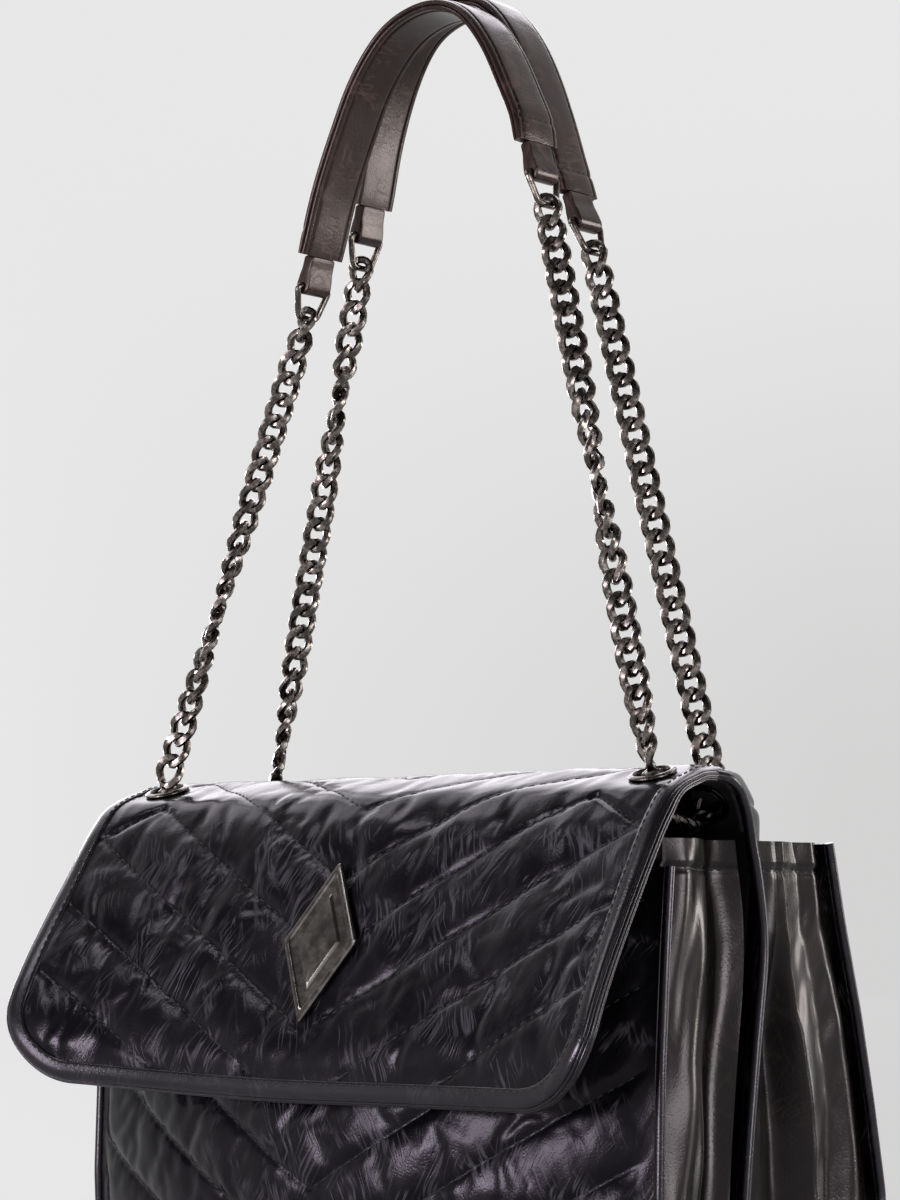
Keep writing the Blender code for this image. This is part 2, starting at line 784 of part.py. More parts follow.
# Chain runs inside the crown, from each front eyelet to the rear eyelet of its side
RUN_LINKS = 4
run_top = link_overhang + STRAND_TAIL + FIT - HINGE_HEIGHT
for side, word in ((-1, "left"), (1, "right")):
    front_place, front_facing = eyelet_seats[f"front_{word}"]
    rear_place, rear_facing = eyelet_seats[f"rear_{word}"]
    first = front_place - front_facing * (run_top + LINK_PITCH)
    last = rear_place - rear_facing * (run_top + LINK_PITCH)
    between = [first.lerp(last, share) for share in even_shares(RUN_LINKS)]
    chain(
        f"inner_chain_{word}",
        [front_place - front_facing * run_top, *between, rear_place - rear_facing * run_top],
        ((0, 0), (1, 0)), crown_hinge,
    )

# Front flap: its section from the hem up to the crease, and how far its sides stand forward
HEM_CORNER = 0.030
FLAP_FLARE = 0.0130
CREASE_FLAT = 0.0070
SNAP_GAP = 0.0022
SOCKET_THICKNESS = 0.0030
STUD_THICKNESS = 0.0024
hem_shares = (1.022, 1.0)
snap_top_shares = (0.984, 0.8475)
emblem_low_shares = (0.920, 0.7628)
emblem_high_shares = (0.261, 0.1645)
flap_wall = lining_depth + LINING + FIT
snap_stack = flap_wall + STUD_THICKNESS + SNAP_GAP + SOCKET_THICKNESS + FIT
low_edge = Vector(front_wall(0.5, snap_low))
high_edge = Vector(front_wall(0.5, snap_high))
socket_place = (low_edge + high_edge) / 2
socket_out = Vector((1, 0, 0)).cross(high_edge - low_edge).normalized()
flap_forward = front_crease.y - socket_place.y + snap_stack


def flap_point(shares):
    """A point of the flap's section, from its shares of the forward reach and the drop."""
    forward, drop = shares
    return front_crease - Vector((0, flap_forward * forward, FLAP_DROP * drop))


hem, snap_top = flap_point(hem_shares), flap_point(snap_top_shares)
emblem_low, emblem_high = flap_point(emblem_low_shares), flap_point(emblem_high_shares)
flap_section = [
    (hem, 1.0), (hem.lerp(snap_top, 0.13), 1.0), (hem.lerp(snap_top, 0.45), 1.0),
    (snap_top, 1.0), (emblem_low, 1.0), (emblem_low.lerp(emblem_high, 0.18), 0.98),
    (emblem_low.lerp(emblem_high, 0.40), 0.84), (emblem_low.lerp(emblem_high, 0.68), 0.56),
    (emblem_high, 0.20), (front_crease - crease_up * CREASE_FLAT, 0.0),
    (front_crease - crease_up * FIT / 2, 0.0),
]
flap_reach = [0.0]
for (low, _), (high, _) in zip(flap_section, flap_section[1:]):
    flap_reach.append(flap_reach[-1] + (high - low).length)
FLAP_ROWS = even_shares(len(flap_section) - 1)
FLAP_COLUMNS = [0, 0.07, 0.18, 0.34, 0.5, 0.66, 0.82, 0.93, 1]


def flap_half(reach):
    """Half the flap's width at a distance up from its hem, drawn in round the corners."""
    short = max(HEM_CORNER - reach, 0)
    return crown_half - HEM_CORNER + math.sqrt(HEM_CORNER**2 - short**2)


def flap_surface(across, up):
    """The flap's outer face, its columns from the left, its rows from the hem."""
    row = round(up * (len(flap_section) - 1))
    centre, flare = flap_section[row]
    x = flap_half(flap_reach[row]) * (2 * across - 1)
    forward = FLAP_FLARE * flare * abs(x / crown_half) ** 3
    return x, centre.y - forward, centre.z


flap_layers = [
    formed_sheet(
        name, FLAP_COLUMNS, FLAP_ROWS, flap_surface, depth, thickness, material, flap_hinge
    )
    for name, depth, thickness, material in (
        ("flap_leather", 0, LEATHER, crinkled_leather),
        ("flap_wadding", wadding_depth, WADDING, white_wadding),
        ("flap_lining", lining_depth, LINING, lining_suede),
    )
]
flap_leather, flap_wadding, flap_lining = flap_layers

# Rolled edge round the flap, from the crease down one side, along the hem and up the other
ROLL_RADIUS = 0.0019
ROLL_OUT = ROLL_RADIUS + FIT
ROLL_SINK = flap_wall / 2


def flap_rim():
    """Points of the flap's rim on its outer face, from the left crease round to the right."""
    left = [Vector(flap_surface(0, share)) for share in reversed(FLAP_ROWS)]
    foot = [Vector(flap_surface(share, 0)) for share in FLAP_COLUMNS[1:-1]]
    right = [Vector(flap_surface(1, share)) for share in FLAP_ROWS]
    return [*left, *foot, *right]


rim = flap_rim()
roll = []
for index, point in enumerate(rim):
    before, after = rim[max(index - 1, 0)], rim[min(index + 1, len(rim) - 1)]
    run = (after - before).normalized()
    facing = crease_out.lerp(Vector((0, -1, 0)), min((front_crease.z - point.z) / HEM_CORNER, 1))
    away = run.cross(facing).normalized()
    inside = away.cross(run).normalized()
    roll.append(point - away * ROLL_OUT + inside * ROLL_SINK)
tube("flap_piping", roll, ROLL_RADIUS, smooth_leather, flap_hinge, sides=PIPING_SIDES)

# Emblem: a plain lozenge plate with two posts through the flap, each closed by a washer
EMBLEM_WIDTH = 0.034
EMBLEM_HEIGHT = 0.062
EMBLEM_THICKNESS = 0.0022
EMBLEM_BEVEL = 0.0007
POST_RADIUS = 0.0013
POST_SPREAD = 0.036
POST_WASHER = 0.0042
emblem_up = (emblem_high - emblem_low).normalized()
emblem_out = Vector((1, 0, 0)).cross(emblem_up)
emblem_place = emblem_low.lerp(emblem_high, 0.5)
post_end = flap_wall + WASHER_THICKNESS


def lozenge(name, width, height, thickness, material, carrier):
    """A flat four-cornered plate, its corners on its own X and Y axes, standing on Z = 0."""
    shape = bmesh.new()
    bmesh.ops.create_cone(
        shape, cap_ends=True, segments=4, radius1=1, radius2=1, depth=1
    )
    bmesh.ops.scale(shape, vec=(width / 2, height / 2, thickness), verts=shape.verts)
    bmesh.ops.translate(shape, vec=(0, 0, thickness / 2), verts=shape.verts)
    mesh = bpy.data.meshes.new(name)
    shape.to_mesh(mesh)
    shape.free()
    return add_piece(name, mesh, material, carrier)


emblem_plate = lozenge(
    "emblem_plate", EMBLEM_WIDTH, EMBLEM_HEIGHT, EMBLEM_THICKNESS, aged_gunmetal, flap_hinge
)
emblem_basis = Matrix((Vector((1, 0, 0)), emblem_up, emblem_out)).transposed()
emblem_plate.location = emblem_place + emblem_out * FIT
emblem_plate.rotation_euler = emblem_basis.to_euler()
chamfer = emblem_plate.modifiers.new("chamfer", "BEVEL")
chamfer.width = EMBLEM_BEVEL
chamfer.segments = 1
for side, word in ((1, "upper"), (-1, "lower")):
    foot = emblem_place + emblem_up * side * POST_SPREAD / 2
    top = foot + emblem_out * (FIT + EMBLEM_THICKNESS / 2)
    bottom = foot - emblem_out * post_end
    post = round_cutter(
        f"{word}_post", POST_RADIUS, (top - bottom).length, (top + bottom) / 2, emblem_out
    )
    join(emblem_plate, post)
    hole = round_cutter(
        f"{word}_post_hole", POST_RADIUS + FIT, 4 * CUT_OVERRUN, foot, emblem_out
    )
    for layer in flap_layers:
        cut(layer, hole)
    washer = turned(
        f"emblem_washer_{word}",
        [
            (POST_WASHER, -flap_wall), (POST_WASHER, -flap_wall - WASHER_THICKNESS),
            (POST_RADIUS + FIT, -flap_wall - WASHER_THICKNESS), (POST_RADIUS + FIT, -flap_wall),
        ],
        TURN_STEPS, aged_gunmetal, flap_hinge,
    )
    seat(washer, foot, emblem_out)

# Magnetic snap: a socket on the front wall and a stud inside the flap's hem
SNAP_RADIUS = 0.0076
SOCKET_BORE = 0.0034
NUB_RADIUS = 0.0022
NUB_LENGTH = 0.0011
SNAP_POST = 0.0012
PLATE_RADIUS = 0.0062
PLATE_THICKNESS = 0.0008
stud_place = hem.lerp(snap_top, 0.55)
stud_in = -Vector((1, 0, 0)).cross(snap_top - hem).normalized()
plate_hole = PLATE_RADIUS + FIT
post_hole = SNAP_POST + FIT
disc_top = FIT + SOCKET_THICKNESS
bore_floor = FIT + SOCKET_THICKNESS / 3

socket = turned(
    "magnet_socket",
    [
        (0, bore_floor), (SOCKET_BORE, bore_floor), (SOCKET_BORE, disc_top),
        (SNAP_RADIUS - FLANGE_EDGE, disc_top), (SNAP_RADIUS, disc_top - FLANGE_EDGE),
        (SNAP_RADIUS, FIT), (SNAP_POST, FIT), (SNAP_POST, -LEATHER), (0, -LEATHER),
    ],
    TURN_STEPS, aged_gunmetal,
)
socket_plate = turned(
    "magnet_socket_plate",
    [
        (0, -wadding_depth), (PLATE_RADIUS, -wadding_depth),
        (PLATE_RADIUS, -wadding_depth - PLATE_THICKNESS), (0, -wadding_depth - PLATE_THICKNESS),
    ],
    TURN_STEPS, aged_gunmetal,
)
for piece in (socket, socket_plate):
    seat(piece, socket_place, socket_out)
cut(front_panel, round_cutter("socket_hole", post_hole, CUT_OVERRUN, socket_place, socket_out))
cut(
    front_wadding,
    round_cutter("socket_plate_hole", plate_hole, 2 * CUT_OVERRUN, socket_place, socket_out),
)

stud_foot = flap_wall
stud_top = stud_foot + STUD_THICKNESS
stud_root = wadding_depth + PLATE_THICKNESS + FIT
stud = turned(
    "magnet_stud",
    [
        (0, stud_top + NUB_LENGTH), (NUB_RADIUS, stud_top + NUB_LENGTH), (NUB_RADIUS, stud_top),
        (SNAP_RADIUS - FLANGE_EDGE, stud_top), (SNAP_RADIUS, stud_top - FLANGE_EDGE),
        (SNAP_RADIUS, stud_foot), (SNAP_POST, stud_foot), (SNAP_POST, stud_root), (0, stud_root),
    ],
    TURN_STEPS, aged_gunmetal, flap_hinge,
)
stud_plate = turned(
    "magnet_stud_plate",
    [
        (0, stud_root - FIT), (PLATE_RADIUS, stud_root - FIT), (PLATE_RADIUS, wadding_depth),
        (0, wadding_depth),
    ],
    TURN_STEPS, aged_gunmetal, flap_hinge,
)
for piece in (stud, stud_plate):
    seat(piece, stud_place, stud_in)
layer_middle = stud_place + stud_in * (wadding_depth + WADDING / 2)
cut(flap_wadding, round_cutter("stud_plate_hole", plate_hole, CUT_OVERRUN, layer_middle, stud_in))
layer_middle = stud_place + stud_in * (lining_depth + LINING / 2)
cut(flap_lining, round_cutter("stud_hole", post_hole, CUT_OVERRUN, layer_middle, stud_in))

# Straps: a shoulder pad between two rings, with a chain from each ring to its eyelet
PAD_WIDTH = 0.0235
PAD_LAYER = 0.0018
PAD_HALF_LENGTH = 0.055
PAD_DROP = 0.086
REAR_PAD_LIFT = 0.0085
FRONT_PAD_Y = -0.0361
TAB_WIDTH = 0.0130
TAB_LENGTH = 0.0120
TAB_WALL = 0.0016
RING_WIRE = 0.00125
RING_HEIGHT = 0.0120
RING_FOOT_HALF = 0.0050
RING_CORNER = 0.0012
PAD_RUNS = 14
LOOP_SIDES = 10
ring_head_half = TAB_WIDTH / 2 + RING_WIRE + RING_CORNER
tab_radius = RING_WIRE + FIT + TAB_WALL
front_pad_shares = (
    (-0.936, 0.994), (-0.80, 0.715), (-0.636, 0.471), (-0.455, 0.25), (-0.218, 0.081),
    (0.036, 0.006), (0.291, 0), (0.509, 0.07), (0.69, 0.215), (0.836, 0.40), (0.936, 0.541),
    (0.973, 0.657),
)
rear_pad_shares = (
    (-0.845, 0.826), (-0.745, 0.535), (-0.60, 0.279), (-0.427, 0.105), (-0.218, 0.023),
    (0.036, 0), (0.255, 0.023), (0.40, 0.087), (0.545, 0.209), (0.673, 0.372), (0.79, 0.57),
    (0.89, 0.767), (0.982, 0.93),
)
strand_turns = {
    "front_left": ((0, 220), (0.38, 130), (0.70, 50), (0.88, 40), (1, -40)),
    "front_right": ((0, 140), (0.15, 200), (0.30, 200), (0.47, 130), (0.70, 45), (0.88, 40), (1, -40)),
    "rear_left": ((0, 320), (0.12, 310), (0.30, 235), (0.55, 215), (0.76, 130), (0.9, 30), (1, -40)),
    "rear_right": ((0, 40), (0.88, 40), (1, -40)),
}


def pad_band(name, arch, pad_y, depth, carrier):
    """One leather layer of a shoulder pad, along an arch of (x, z) points."""
    def surface(across, up):
        x, z = arch[round(across * (len(arch) - 1))]
        return x, pad_y + PAD_WIDTH * (up - 0.5), z
    formed_sheet(
        name, even_shares(len(arch) - 1), [0, 1], surface, depth, PAD_LAYER, pad_leather, carrier
    )


def ring(name, head, along, carrier):
    """A four-sided wire ring whose top bar runs front to back through a place."""
    foot = head - along * RING_HEIGHT
    wide = Vector((0, 1, 0))
    points = []
    for middle, half, inner in ((head, ring_head_half, -along), (foot, RING_FOOT_HALF, along)):
        order = (-1, 1) if middle is head else (1, -1)
        for side in order:
            corner = middle + wide * side * half
            down = corner + inner * RING_CORNER
            across = corner - wide * side * RING_CORNER
            points += [down, across] if side == order[0] else [across, down]
    tube(name, points, RING_WIRE, aged_gunmetal, carrier, closed=True, sides=1)
    return foot


def tab(name, head, along, carrier):
    """A leather loop round a ring's top bar, rising to the end of the pad."""
    curve = bpy.data.curves.new(name, "CURVE")
    curve.dimensions = "2D"
    curve.fill_mode = "BOTH"
    curve.extrude = TAB_WIDTH / 2
    half = PAD_LAYER + FIT / 2
    bend = [math.pi * (1 + share) for share in even_shares(LOOP_SIDES - 2)]
    outer = [(tab_radius * math.cos(turn), tab_radius * math.sin(turn)) for turn in bend]
    outer += [(half, TAB_LENGTH / 2), (half, TAB_LENGTH - FIT), (-half, TAB_LENGTH - FIT)]
    outer += [(-half, TAB_LENGTH / 2)]
    turns = [2 * math.pi * share for share in even_shares(LOOP_SIDES)[:-1]]
    hole = [((RING_WIRE + FIT) * math.cos(turn), (RING_WIRE + FIT) * math.sin(turn)) for turn in turns]
    for outline in (outer, hole):
        run = curve.splines.new("POLY")
        run.points.add(len(outline) - 1)
        for knot, (x, y) in zip(run.points, outline):
            knot.co = (x, y, 0, 1)
        run.use_cyclic_u = True
    piece = add_piece(name, curve, pad_leather, carrier)
    out = along.cross(Vector((0, -1, 0)))
    piece.location = head
    piece.rotation_euler = Matrix((out, along, Vector((0, -1, 0)))).transposed().to_euler()


def strap(end, shares, pad_y, lift):
    """One strap: its hinge through its eyelets, pad, tabs, rings and chains."""
    places = [eyelet_seats[f"{end}_{word}"] for word in ("left", "right")]
    roots = [place + facing * HINGE_HEIGHT for place, facing in places]
    carrier = empty_at(f"{end}_strap_hinge", (0, roots[0].y, roots[0].z), crown_hinge)
    outline = [(PAD_HALF_LENGTH * x, PAD_TOP + lift - PAD_DROP * drop) for x, drop in shares]
    arch = smooth_path(outline, PAD_RUNS)
    pad_band(f"{end}_pad_leather", arch, pad_y, -PAD_LAYER - FIT / 2, carrier)
    pad_band(f"{end}_pad_lining", arch, pad_y, FIT / 2, carrier)
    for word, root, tip, inner in (
        ("left", roots[0], arch[0], arch[1]), ("right", roots[1], arch[-1], arch[-2]),
    ):
        tip = Vector((tip[0], pad_y, tip[1]))
        along = (Vector((inner[0], pad_y, inner[1])) - tip).normalized()
        head = tip - along * TAB_LENGTH
        tab(f"{end}_pad_tab_{word}", head, along, carrier)
        foot = ring(f"{end}_ring_{word}", head, along, carrier)
        rise = (foot - root).normalized()
        low = root + rise * (link_overhang - STRAND_TAIL)
        high = foot + rise * (2 * WIRE_RADIUS + RING_WIRE + FIT - link_overhang)
        count = round((high - low).length / LINK_PITCH)
        joints = [low.lerp(high, share) for share in even_shares(count)]
        chain(f"{end}_chain_{word}", joints, strand_turns[f"{end}_{word}"], carrier)


strap("front", front_pad_shares, FRONT_PAD_Y, 0)
strap("rear", rear_pad_shares, FRONT_PAD_Y + PAD_WIDTH + FIT, REAR_PAD_LIFT)
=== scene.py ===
import math

import bmesh
import bpy
import numpy as np
from mathutils import Matrix, Vector


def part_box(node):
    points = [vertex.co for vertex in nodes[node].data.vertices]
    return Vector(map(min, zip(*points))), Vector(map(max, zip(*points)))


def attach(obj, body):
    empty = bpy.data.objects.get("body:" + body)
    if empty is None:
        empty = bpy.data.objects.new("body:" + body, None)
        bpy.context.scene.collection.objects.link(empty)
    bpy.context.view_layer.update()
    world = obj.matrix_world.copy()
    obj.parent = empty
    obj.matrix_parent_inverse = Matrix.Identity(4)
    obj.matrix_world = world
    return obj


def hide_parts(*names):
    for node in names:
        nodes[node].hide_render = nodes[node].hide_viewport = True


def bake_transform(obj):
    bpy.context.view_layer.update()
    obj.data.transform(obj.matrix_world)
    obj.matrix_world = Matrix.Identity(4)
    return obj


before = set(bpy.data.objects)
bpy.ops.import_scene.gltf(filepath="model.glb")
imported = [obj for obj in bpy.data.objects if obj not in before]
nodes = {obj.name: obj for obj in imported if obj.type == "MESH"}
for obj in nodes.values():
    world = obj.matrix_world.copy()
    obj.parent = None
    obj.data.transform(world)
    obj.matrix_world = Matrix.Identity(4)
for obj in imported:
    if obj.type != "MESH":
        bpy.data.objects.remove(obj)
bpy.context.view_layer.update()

# Camera: level with the upper half of the bag, forty degrees round to its right, looking
# a little upwards, as the bag was photographed.
scene = bpy.context.scene
SWING = math.radians(40)
CAMERA_RANGE = 1.2875
CAMERA_HEIGHT = 0.1442
CAMERA_PITCH = math.radians(5.512)
CAMERA_YAW = math.atan2(34, 3492)
LENS = 104.76
forward = Vector((-math.sin(SWING), math.cos(SWING), 0))
rightward = Vector((math.cos(SWING), math.sin(SWING), 0))
level = forward * math.cos(CAMERA_YAW) + rightward * math.sin(CAMERA_YAW)
camera_right = rightward * math.cos(CAMERA_YAW) - forward * math.sin(CAMERA_YAW)
sight = level * math.cos(CAMERA_PITCH) + Vector((0, 0, 1)) * math.sin(CAMERA_PITCH)
camera_up = Vector((0, 0, 1)) * math.cos(CAMERA_PITCH) - level * math.sin(CAMERA_PITCH)
camera = bpy.data.objects.new("camera", bpy.data.cameras.new("camera"))
camera.data.lens = LENS
camera.data.sensor_width = 36
camera.data.clip_start = 0.01
camera.data.clip_end = 50
turn = Matrix((camera_right, camera_up, -sight)).transposed()
camera.matrix_world = Matrix.Translation(
    (CAMERA_RANGE * math.sin(SWING), -CAMERA_RANGE * math.cos(SWING) - 0.04, CAMERA_HEIGHT)
) @ turn.to_4x4()
scene.collection.objects.link(camera)
scene.camera = camera
scene.view_settings.view_transform = "Standard"
# Studio: a pale seamless floor that runs off into a pale wall, lit by large soft lamps.
FLOOR_REACH, FLOOR_DROP, FLOOR_RINGS, FLOOR_TURNS = 7.0, 0.0006, 24, 64
FLOOR_NEAR, FLOOR_FAR = 0.28, 0.62
FLOOR_COLOUR, CEILING = (0.72, 0.72, 0.72, 1), (0.10, 0.10, 0.102, 1)
BACKDROP, BACKDROP_LOW = (0.80, 0.80, 0.80, 1), (0.655, 0.655, 0.652, 1)
ROOM_LIGHT, WALL_SIDE = 0.22, 0.12
LOW_WALL, HIGH_WALL, NEAR_WALL = (0.24, 0.03), (0.20, 0.42), (0.30, 0.0)


def feed(socket, value):
    """A value for an input, or a link to it where the value is another node's output."""
    if isinstance(value, bpy.types.NodeSocket):
        socket.id_data.links.new(value, socket)
    else:
        socket.default_value = value


def add_node(tree, kind, *given, **named):
    """A node. Given values go to its inputs in order, and named ones to the property or the
    input of that name, with underscores for spaces."""
    node = tree.nodes.new(kind)
    for key, value in named.items():
        if hasattr(node, key):
            setattr(node, key, value)
        else:
            feed(node.inputs[key.replace("_", " ")], value)
    for socket, value in zip(node.inputs, given):
        feed(socket, value)
    return node


def math_node(tree, operation, *values, clamp=False):
    """The output of a Math node."""
    node = add_node(tree, "ShaderNodeMath", *values, operation=operation, use_clamp=clamp)
    return node.outputs[0]


def vector_node(tree, operation, *values, **named):
    """A Vector Math node's output: a number for a dot product or a length."""
    node = add_node(tree, "ShaderNodeVectorMath", *values, operation=operation, **named)
    return node.outputs["Value" if operation in ("DOT_PRODUCT", "LENGTH") else "Vector"]


def ranged(tree, value, low, high, start=0.0, end=1.0, smooth=True):
    """The value carried from the range low to high to the range start to end."""
    way = "SMOOTHSTEP" if smooth else "LINEAR"
    return add_node(tree, "ShaderNodeMapRange", value, low, high, start, end,
                    interpolation_type=way).outputs["Result"]


def mixed_colour(tree, share, low, high):
    """A colour between two, at a share of the way."""
    mix = add_node(tree, "ShaderNodeMix", data_type="RGBA", Factor=share, A=low, B=high)
    return mix.outputs["Result"]


def shader_of(name, **values):
    """A new material, its node tree, its Principled shader with these values, and the place
    in object space."""
    material = bpy.data.materials.new(name)
    material.use_nodes = True
    tree = material.node_tree
    shader = tree.nodes["Principled BSDF"]
    for key, value in values.items():
        feed(shader.inputs[key.replace("_", " ")], value)
    return material, tree, shader, add_node(tree, "ShaderNodeTexCoord").outputs["Object"]


def shown_directly(tree, share, other, shown, output):
    """One shader for the light, and another, by a share, for what the camera, a mirror or a
    glass sees."""
    path = add_node(tree, "ShaderNodeLightPath").outputs
    seen = math_node(tree, "MAXIMUM", path["Is Camera Ray"], path["Is Glossy Ray"])
    seen = math_node(tree, "MAXIMUM", seen, path["Is Transmission Ray"])
    seen = math_node(tree, "MULTIPLY", seen, share)
    mixed = add_node(tree, "ShaderNodeMixShader", seen, other.outputs[0], shown.outputs[0])
    feed(tree.nodes[output].inputs["Surface"], mixed.outputs[0])


def round_turns(count):
    """Even turns round a circle."""
    return np.linspace(0, 2 * math.pi, count, endpoint=False)


def grid_faces(rows, cols, wrap_rows=False, wrap_cols=False):
    """Quads between the neighbours of a grid of points, numbered row by row."""
    below = np.arange(rows if wrap_rows else rows - 1)[:, None]
    left = np.arange(cols if wrap_cols else cols - 1)[None, :]
    above, right = (below + 1) % rows, (left + 1) % cols
    corners = (below * cols + left, below * cols + right, above * cols + right, above * cols + left)
    return np.stack(np.broadcast_arrays(*corners), -1).reshape(-1, 4)


def bare_mesh(name, points, faces):
    """An object at the origin whose mesh has these points and four-cornered faces."""
    points = np.ascontiguousarray(points, np.float32).ravel()
    faces = np.ascontiguousarray(faces, np.int32)
    mesh = bpy.data.meshes.new(name)
    mesh.vertices.add(len(points) // 3)
    mesh.vertices.foreach_set("co", points)
    mesh.loops.add(faces.size)
    mesh.loops.foreach_set("vertex_index", faces.ravel())
    mesh.polygons.add(len(faces))
    mesh.polygons.foreach_set("loop_start", np.arange(0, faces.size, 4, dtype=np.int32))
    mesh.update(calc_edges=True)
    piece = bpy.data.objects.new(name, mesh)
    scene.collection.objects.link(piece)
    return piece


def mesh_piece(name, points, faces, material, sharp=50.0, weld=False):
    """A shaded piece, smooth but for its sharp edges, its doubled points welded if asked."""
    piece = bare_mesh(name, points, faces)
    mesh = piece.data
    if weld:
        shape = bmesh.new()
        shape.from_mesh(mesh)
        bmesh.ops.remove_doubles(shape, verts=shape.verts, dist=1e-7)
        bmesh.ops.dissolve_degenerate(shape, edges=shape.edges, dist=1e-8)
        shape.to_mesh(mesh)
        shape.free()
    mesh.validate()
    mesh.shade_smooth()
    mesh.set_sharp_from_angle(angle=math.radians(sharp))
    mesh.materials.append(material)
    return piece


def placed(piece, slot, body, *replaced):
    """The piece rides on a body and stands for the hidden solids; the slot is not used."""
    if replaced:
        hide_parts(*replaced)
    if body:
        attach(piece, body)
    return piece


floor_paint, tree, shader, place = shader_of(
    "seamless_floor", Base_Color=FLOOR_COLOUR, Roughness=0.7, Specular_IOR_Level=0.1
)
fade = ranged(tree, vector_node(tree, "LENGTH", place), FLOOR_NEAR, FLOOR_FAR)
sideways = vector_node(tree, "DOT_PRODUCT", vector_node(tree, "NORMALIZE", place), rightward)
shade = ranged(tree, sideways, -2 * WALL_SIDE, 2 * WALL_SIDE)
glow = add_node(tree, "ShaderNodeEmission", mixed_colour(tree, shade, BACKDROP, BACKDROP_LOW))
shown_directly(tree, fade, shader, glow, "Material Output")
# The floor is a flat disc: radius times the cosine and sine of the turn, in even rings.
rings, turns = np.meshgrid(
    np.linspace(0, FLOOR_REACH, FLOOR_RINGS), round_turns(FLOOR_TURNS), indexing="ij"
)
points = np.stack([rings * np.cos(turns), rings * np.sin(turns), rings * 0 - FLOOR_DROP], -1)
faces = grid_faces(FLOOR_RINGS, FLOOR_TURNS, wrap_cols=True)
mesh_piece("studio_floor", points, faces, floor_paint, weld=True)

world = bpy.data.worlds.new("studio_world")
scene.world = world
world.use_nodes = True
tree = world.node_tree
ground = tree.nodes["Background"]
feed(ground.inputs["Color"], (1, 1, 1, 1))
feed(ground.inputs["Strength"], ROOM_LIGHT)
place = add_node(tree, "ShaderNodeTexCoord").outputs["Generated"]
height = add_node(tree, "ShaderNodeSeparateXYZ", place).outputs["Z"]
sideways = vector_node(tree, "DOT_PRODUCT", place, rightward)
side_share = ranged(tree, sideways, -WALL_SIDE, WALL_SIDE, smooth=False)
low_right = math_node(tree, "MULTIPLY", ranged(tree, height, *LOW_WALL), side_share)
behind = vector_node(tree, "DOT_PRODUCT", place, forward)
near_side = ranged(tree, behind, *NEAR_WALL, smooth=False)
near_roof = math_node(tree, "MULTIPLY", ranged(tree, height, *HIGH_WALL), near_side)
# Low on the right the wall is painted a darker grey, a painted shade on the backdrop.
colour = mixed_colour(tree, low_right, BACKDROP, BACKDROP_LOW)
wall = add_node(tree, "ShaderNodeBackground", mixed_colour(tree, near_roof, colour, CEILING))
shown_directly(tree, 1.0, ground, wall, "World Output")

# Each lamp: its name, place, aim, width, height, watts, warmth and coolness.
for name, at, aim, width, height, watts, warmth, cool in (
    ("front_lamp", (-0.34, -2.2, 0.30), (0, -0.05, 0.08), 1.1, 0.42, 52, 0, 1),
    ("high_lamp", (-0.9, -1.5, 2.0), (0, -0.05, 0.15), 0.5, 0.5, 11, 0, 0),
    ("left_lamp", (-1.85, 1.05, 0.40), (0, -0.05, 0.10), 0.6, 0.7, 17, 0, 1),
    ("right_lamp", (2.15, -0.45, 0.50), (0.1, 0, 0.12), 1.0, 0.8, 34, 0, 0),
    ("warm_lamp", (1.45, 1.65, 0.50), (0.1, 0, 0.12), 0.62, 0.85, 27, 0.12, 0),
    ("top_lamp", (-1.35, 1.0, 1.60), (0, 0, 0.2), 2.6, 1.9, 42, 0, 1),
):
    light = bpy.data.lights.new(name, "AREA")
    light.shape = "RECTANGLE"
    light.size, light.size_y, light.energy = width, height, watts
    light.color = (1 - 0.03 * cool, 1 - 0.4 * warmth - 0.08 * cool, 1 - 0.8 * warmth)
    holder = bpy.data.objects.new(name, light)
    holder.location = at
    holder.rotation_euler = (Vector(aim) - Vector(at)).to_track_quat("-Z", "Y").to_euler()
    scene.collection.objects.link(holder)

# Leather finishes: black calf with a glossy crinkled glaze for the walls and the flap, the
# same hide smooth for gussets and edges, and a browner glaze on the shoulder pads. The
# crinkle and pore groups put out heights and masks, and each material has its own values.
CRINKLE_DEPTH, PORE_DEPTH, THREAD_DEPTH = 0.0014, 0.00012, 0.0002


def new_group(name, inputs, outputs):
    """A shader node group with float inputs and outputs: its place, inputs and output node."""
    group = bpy.data.node_groups.new(name, "ShaderNodeTree")
    group.interface.new_socket("Place", in_out="INPUT", socket_type="NodeSocketVector")
    for title, value in inputs:
        socket = group.interface.new_socket(title, in_out="INPUT", socket_type="NodeSocketFloat")
        socket.default_value = value
    for title in outputs:
        group.interface.new_socket(title, in_out="OUTPUT", socket_type="NodeSocketFloat")
    given = add_node(group, "NodeGroupInput").outputs
    return group, given["Place"], given, add_node(group, "NodeGroupOutput").inputs


def noise_at(tree, place, scale, detail):
    """The value of a noise at a place."""
    noise = add_node(tree, "ShaderNodeTexNoise", Vector=place, Scale=scale, Detail=detail)
    return noise.outputs["Fac"]


def bumped(tree, height, strength, distance, **under):
    """A normal bent by a height, over another normal where one is given."""
    bump = add_node(tree, "ShaderNodeBump", Height=height, Strength=strength, Distance=distance,
                    **under)
    return bump.outputs["Normal"]


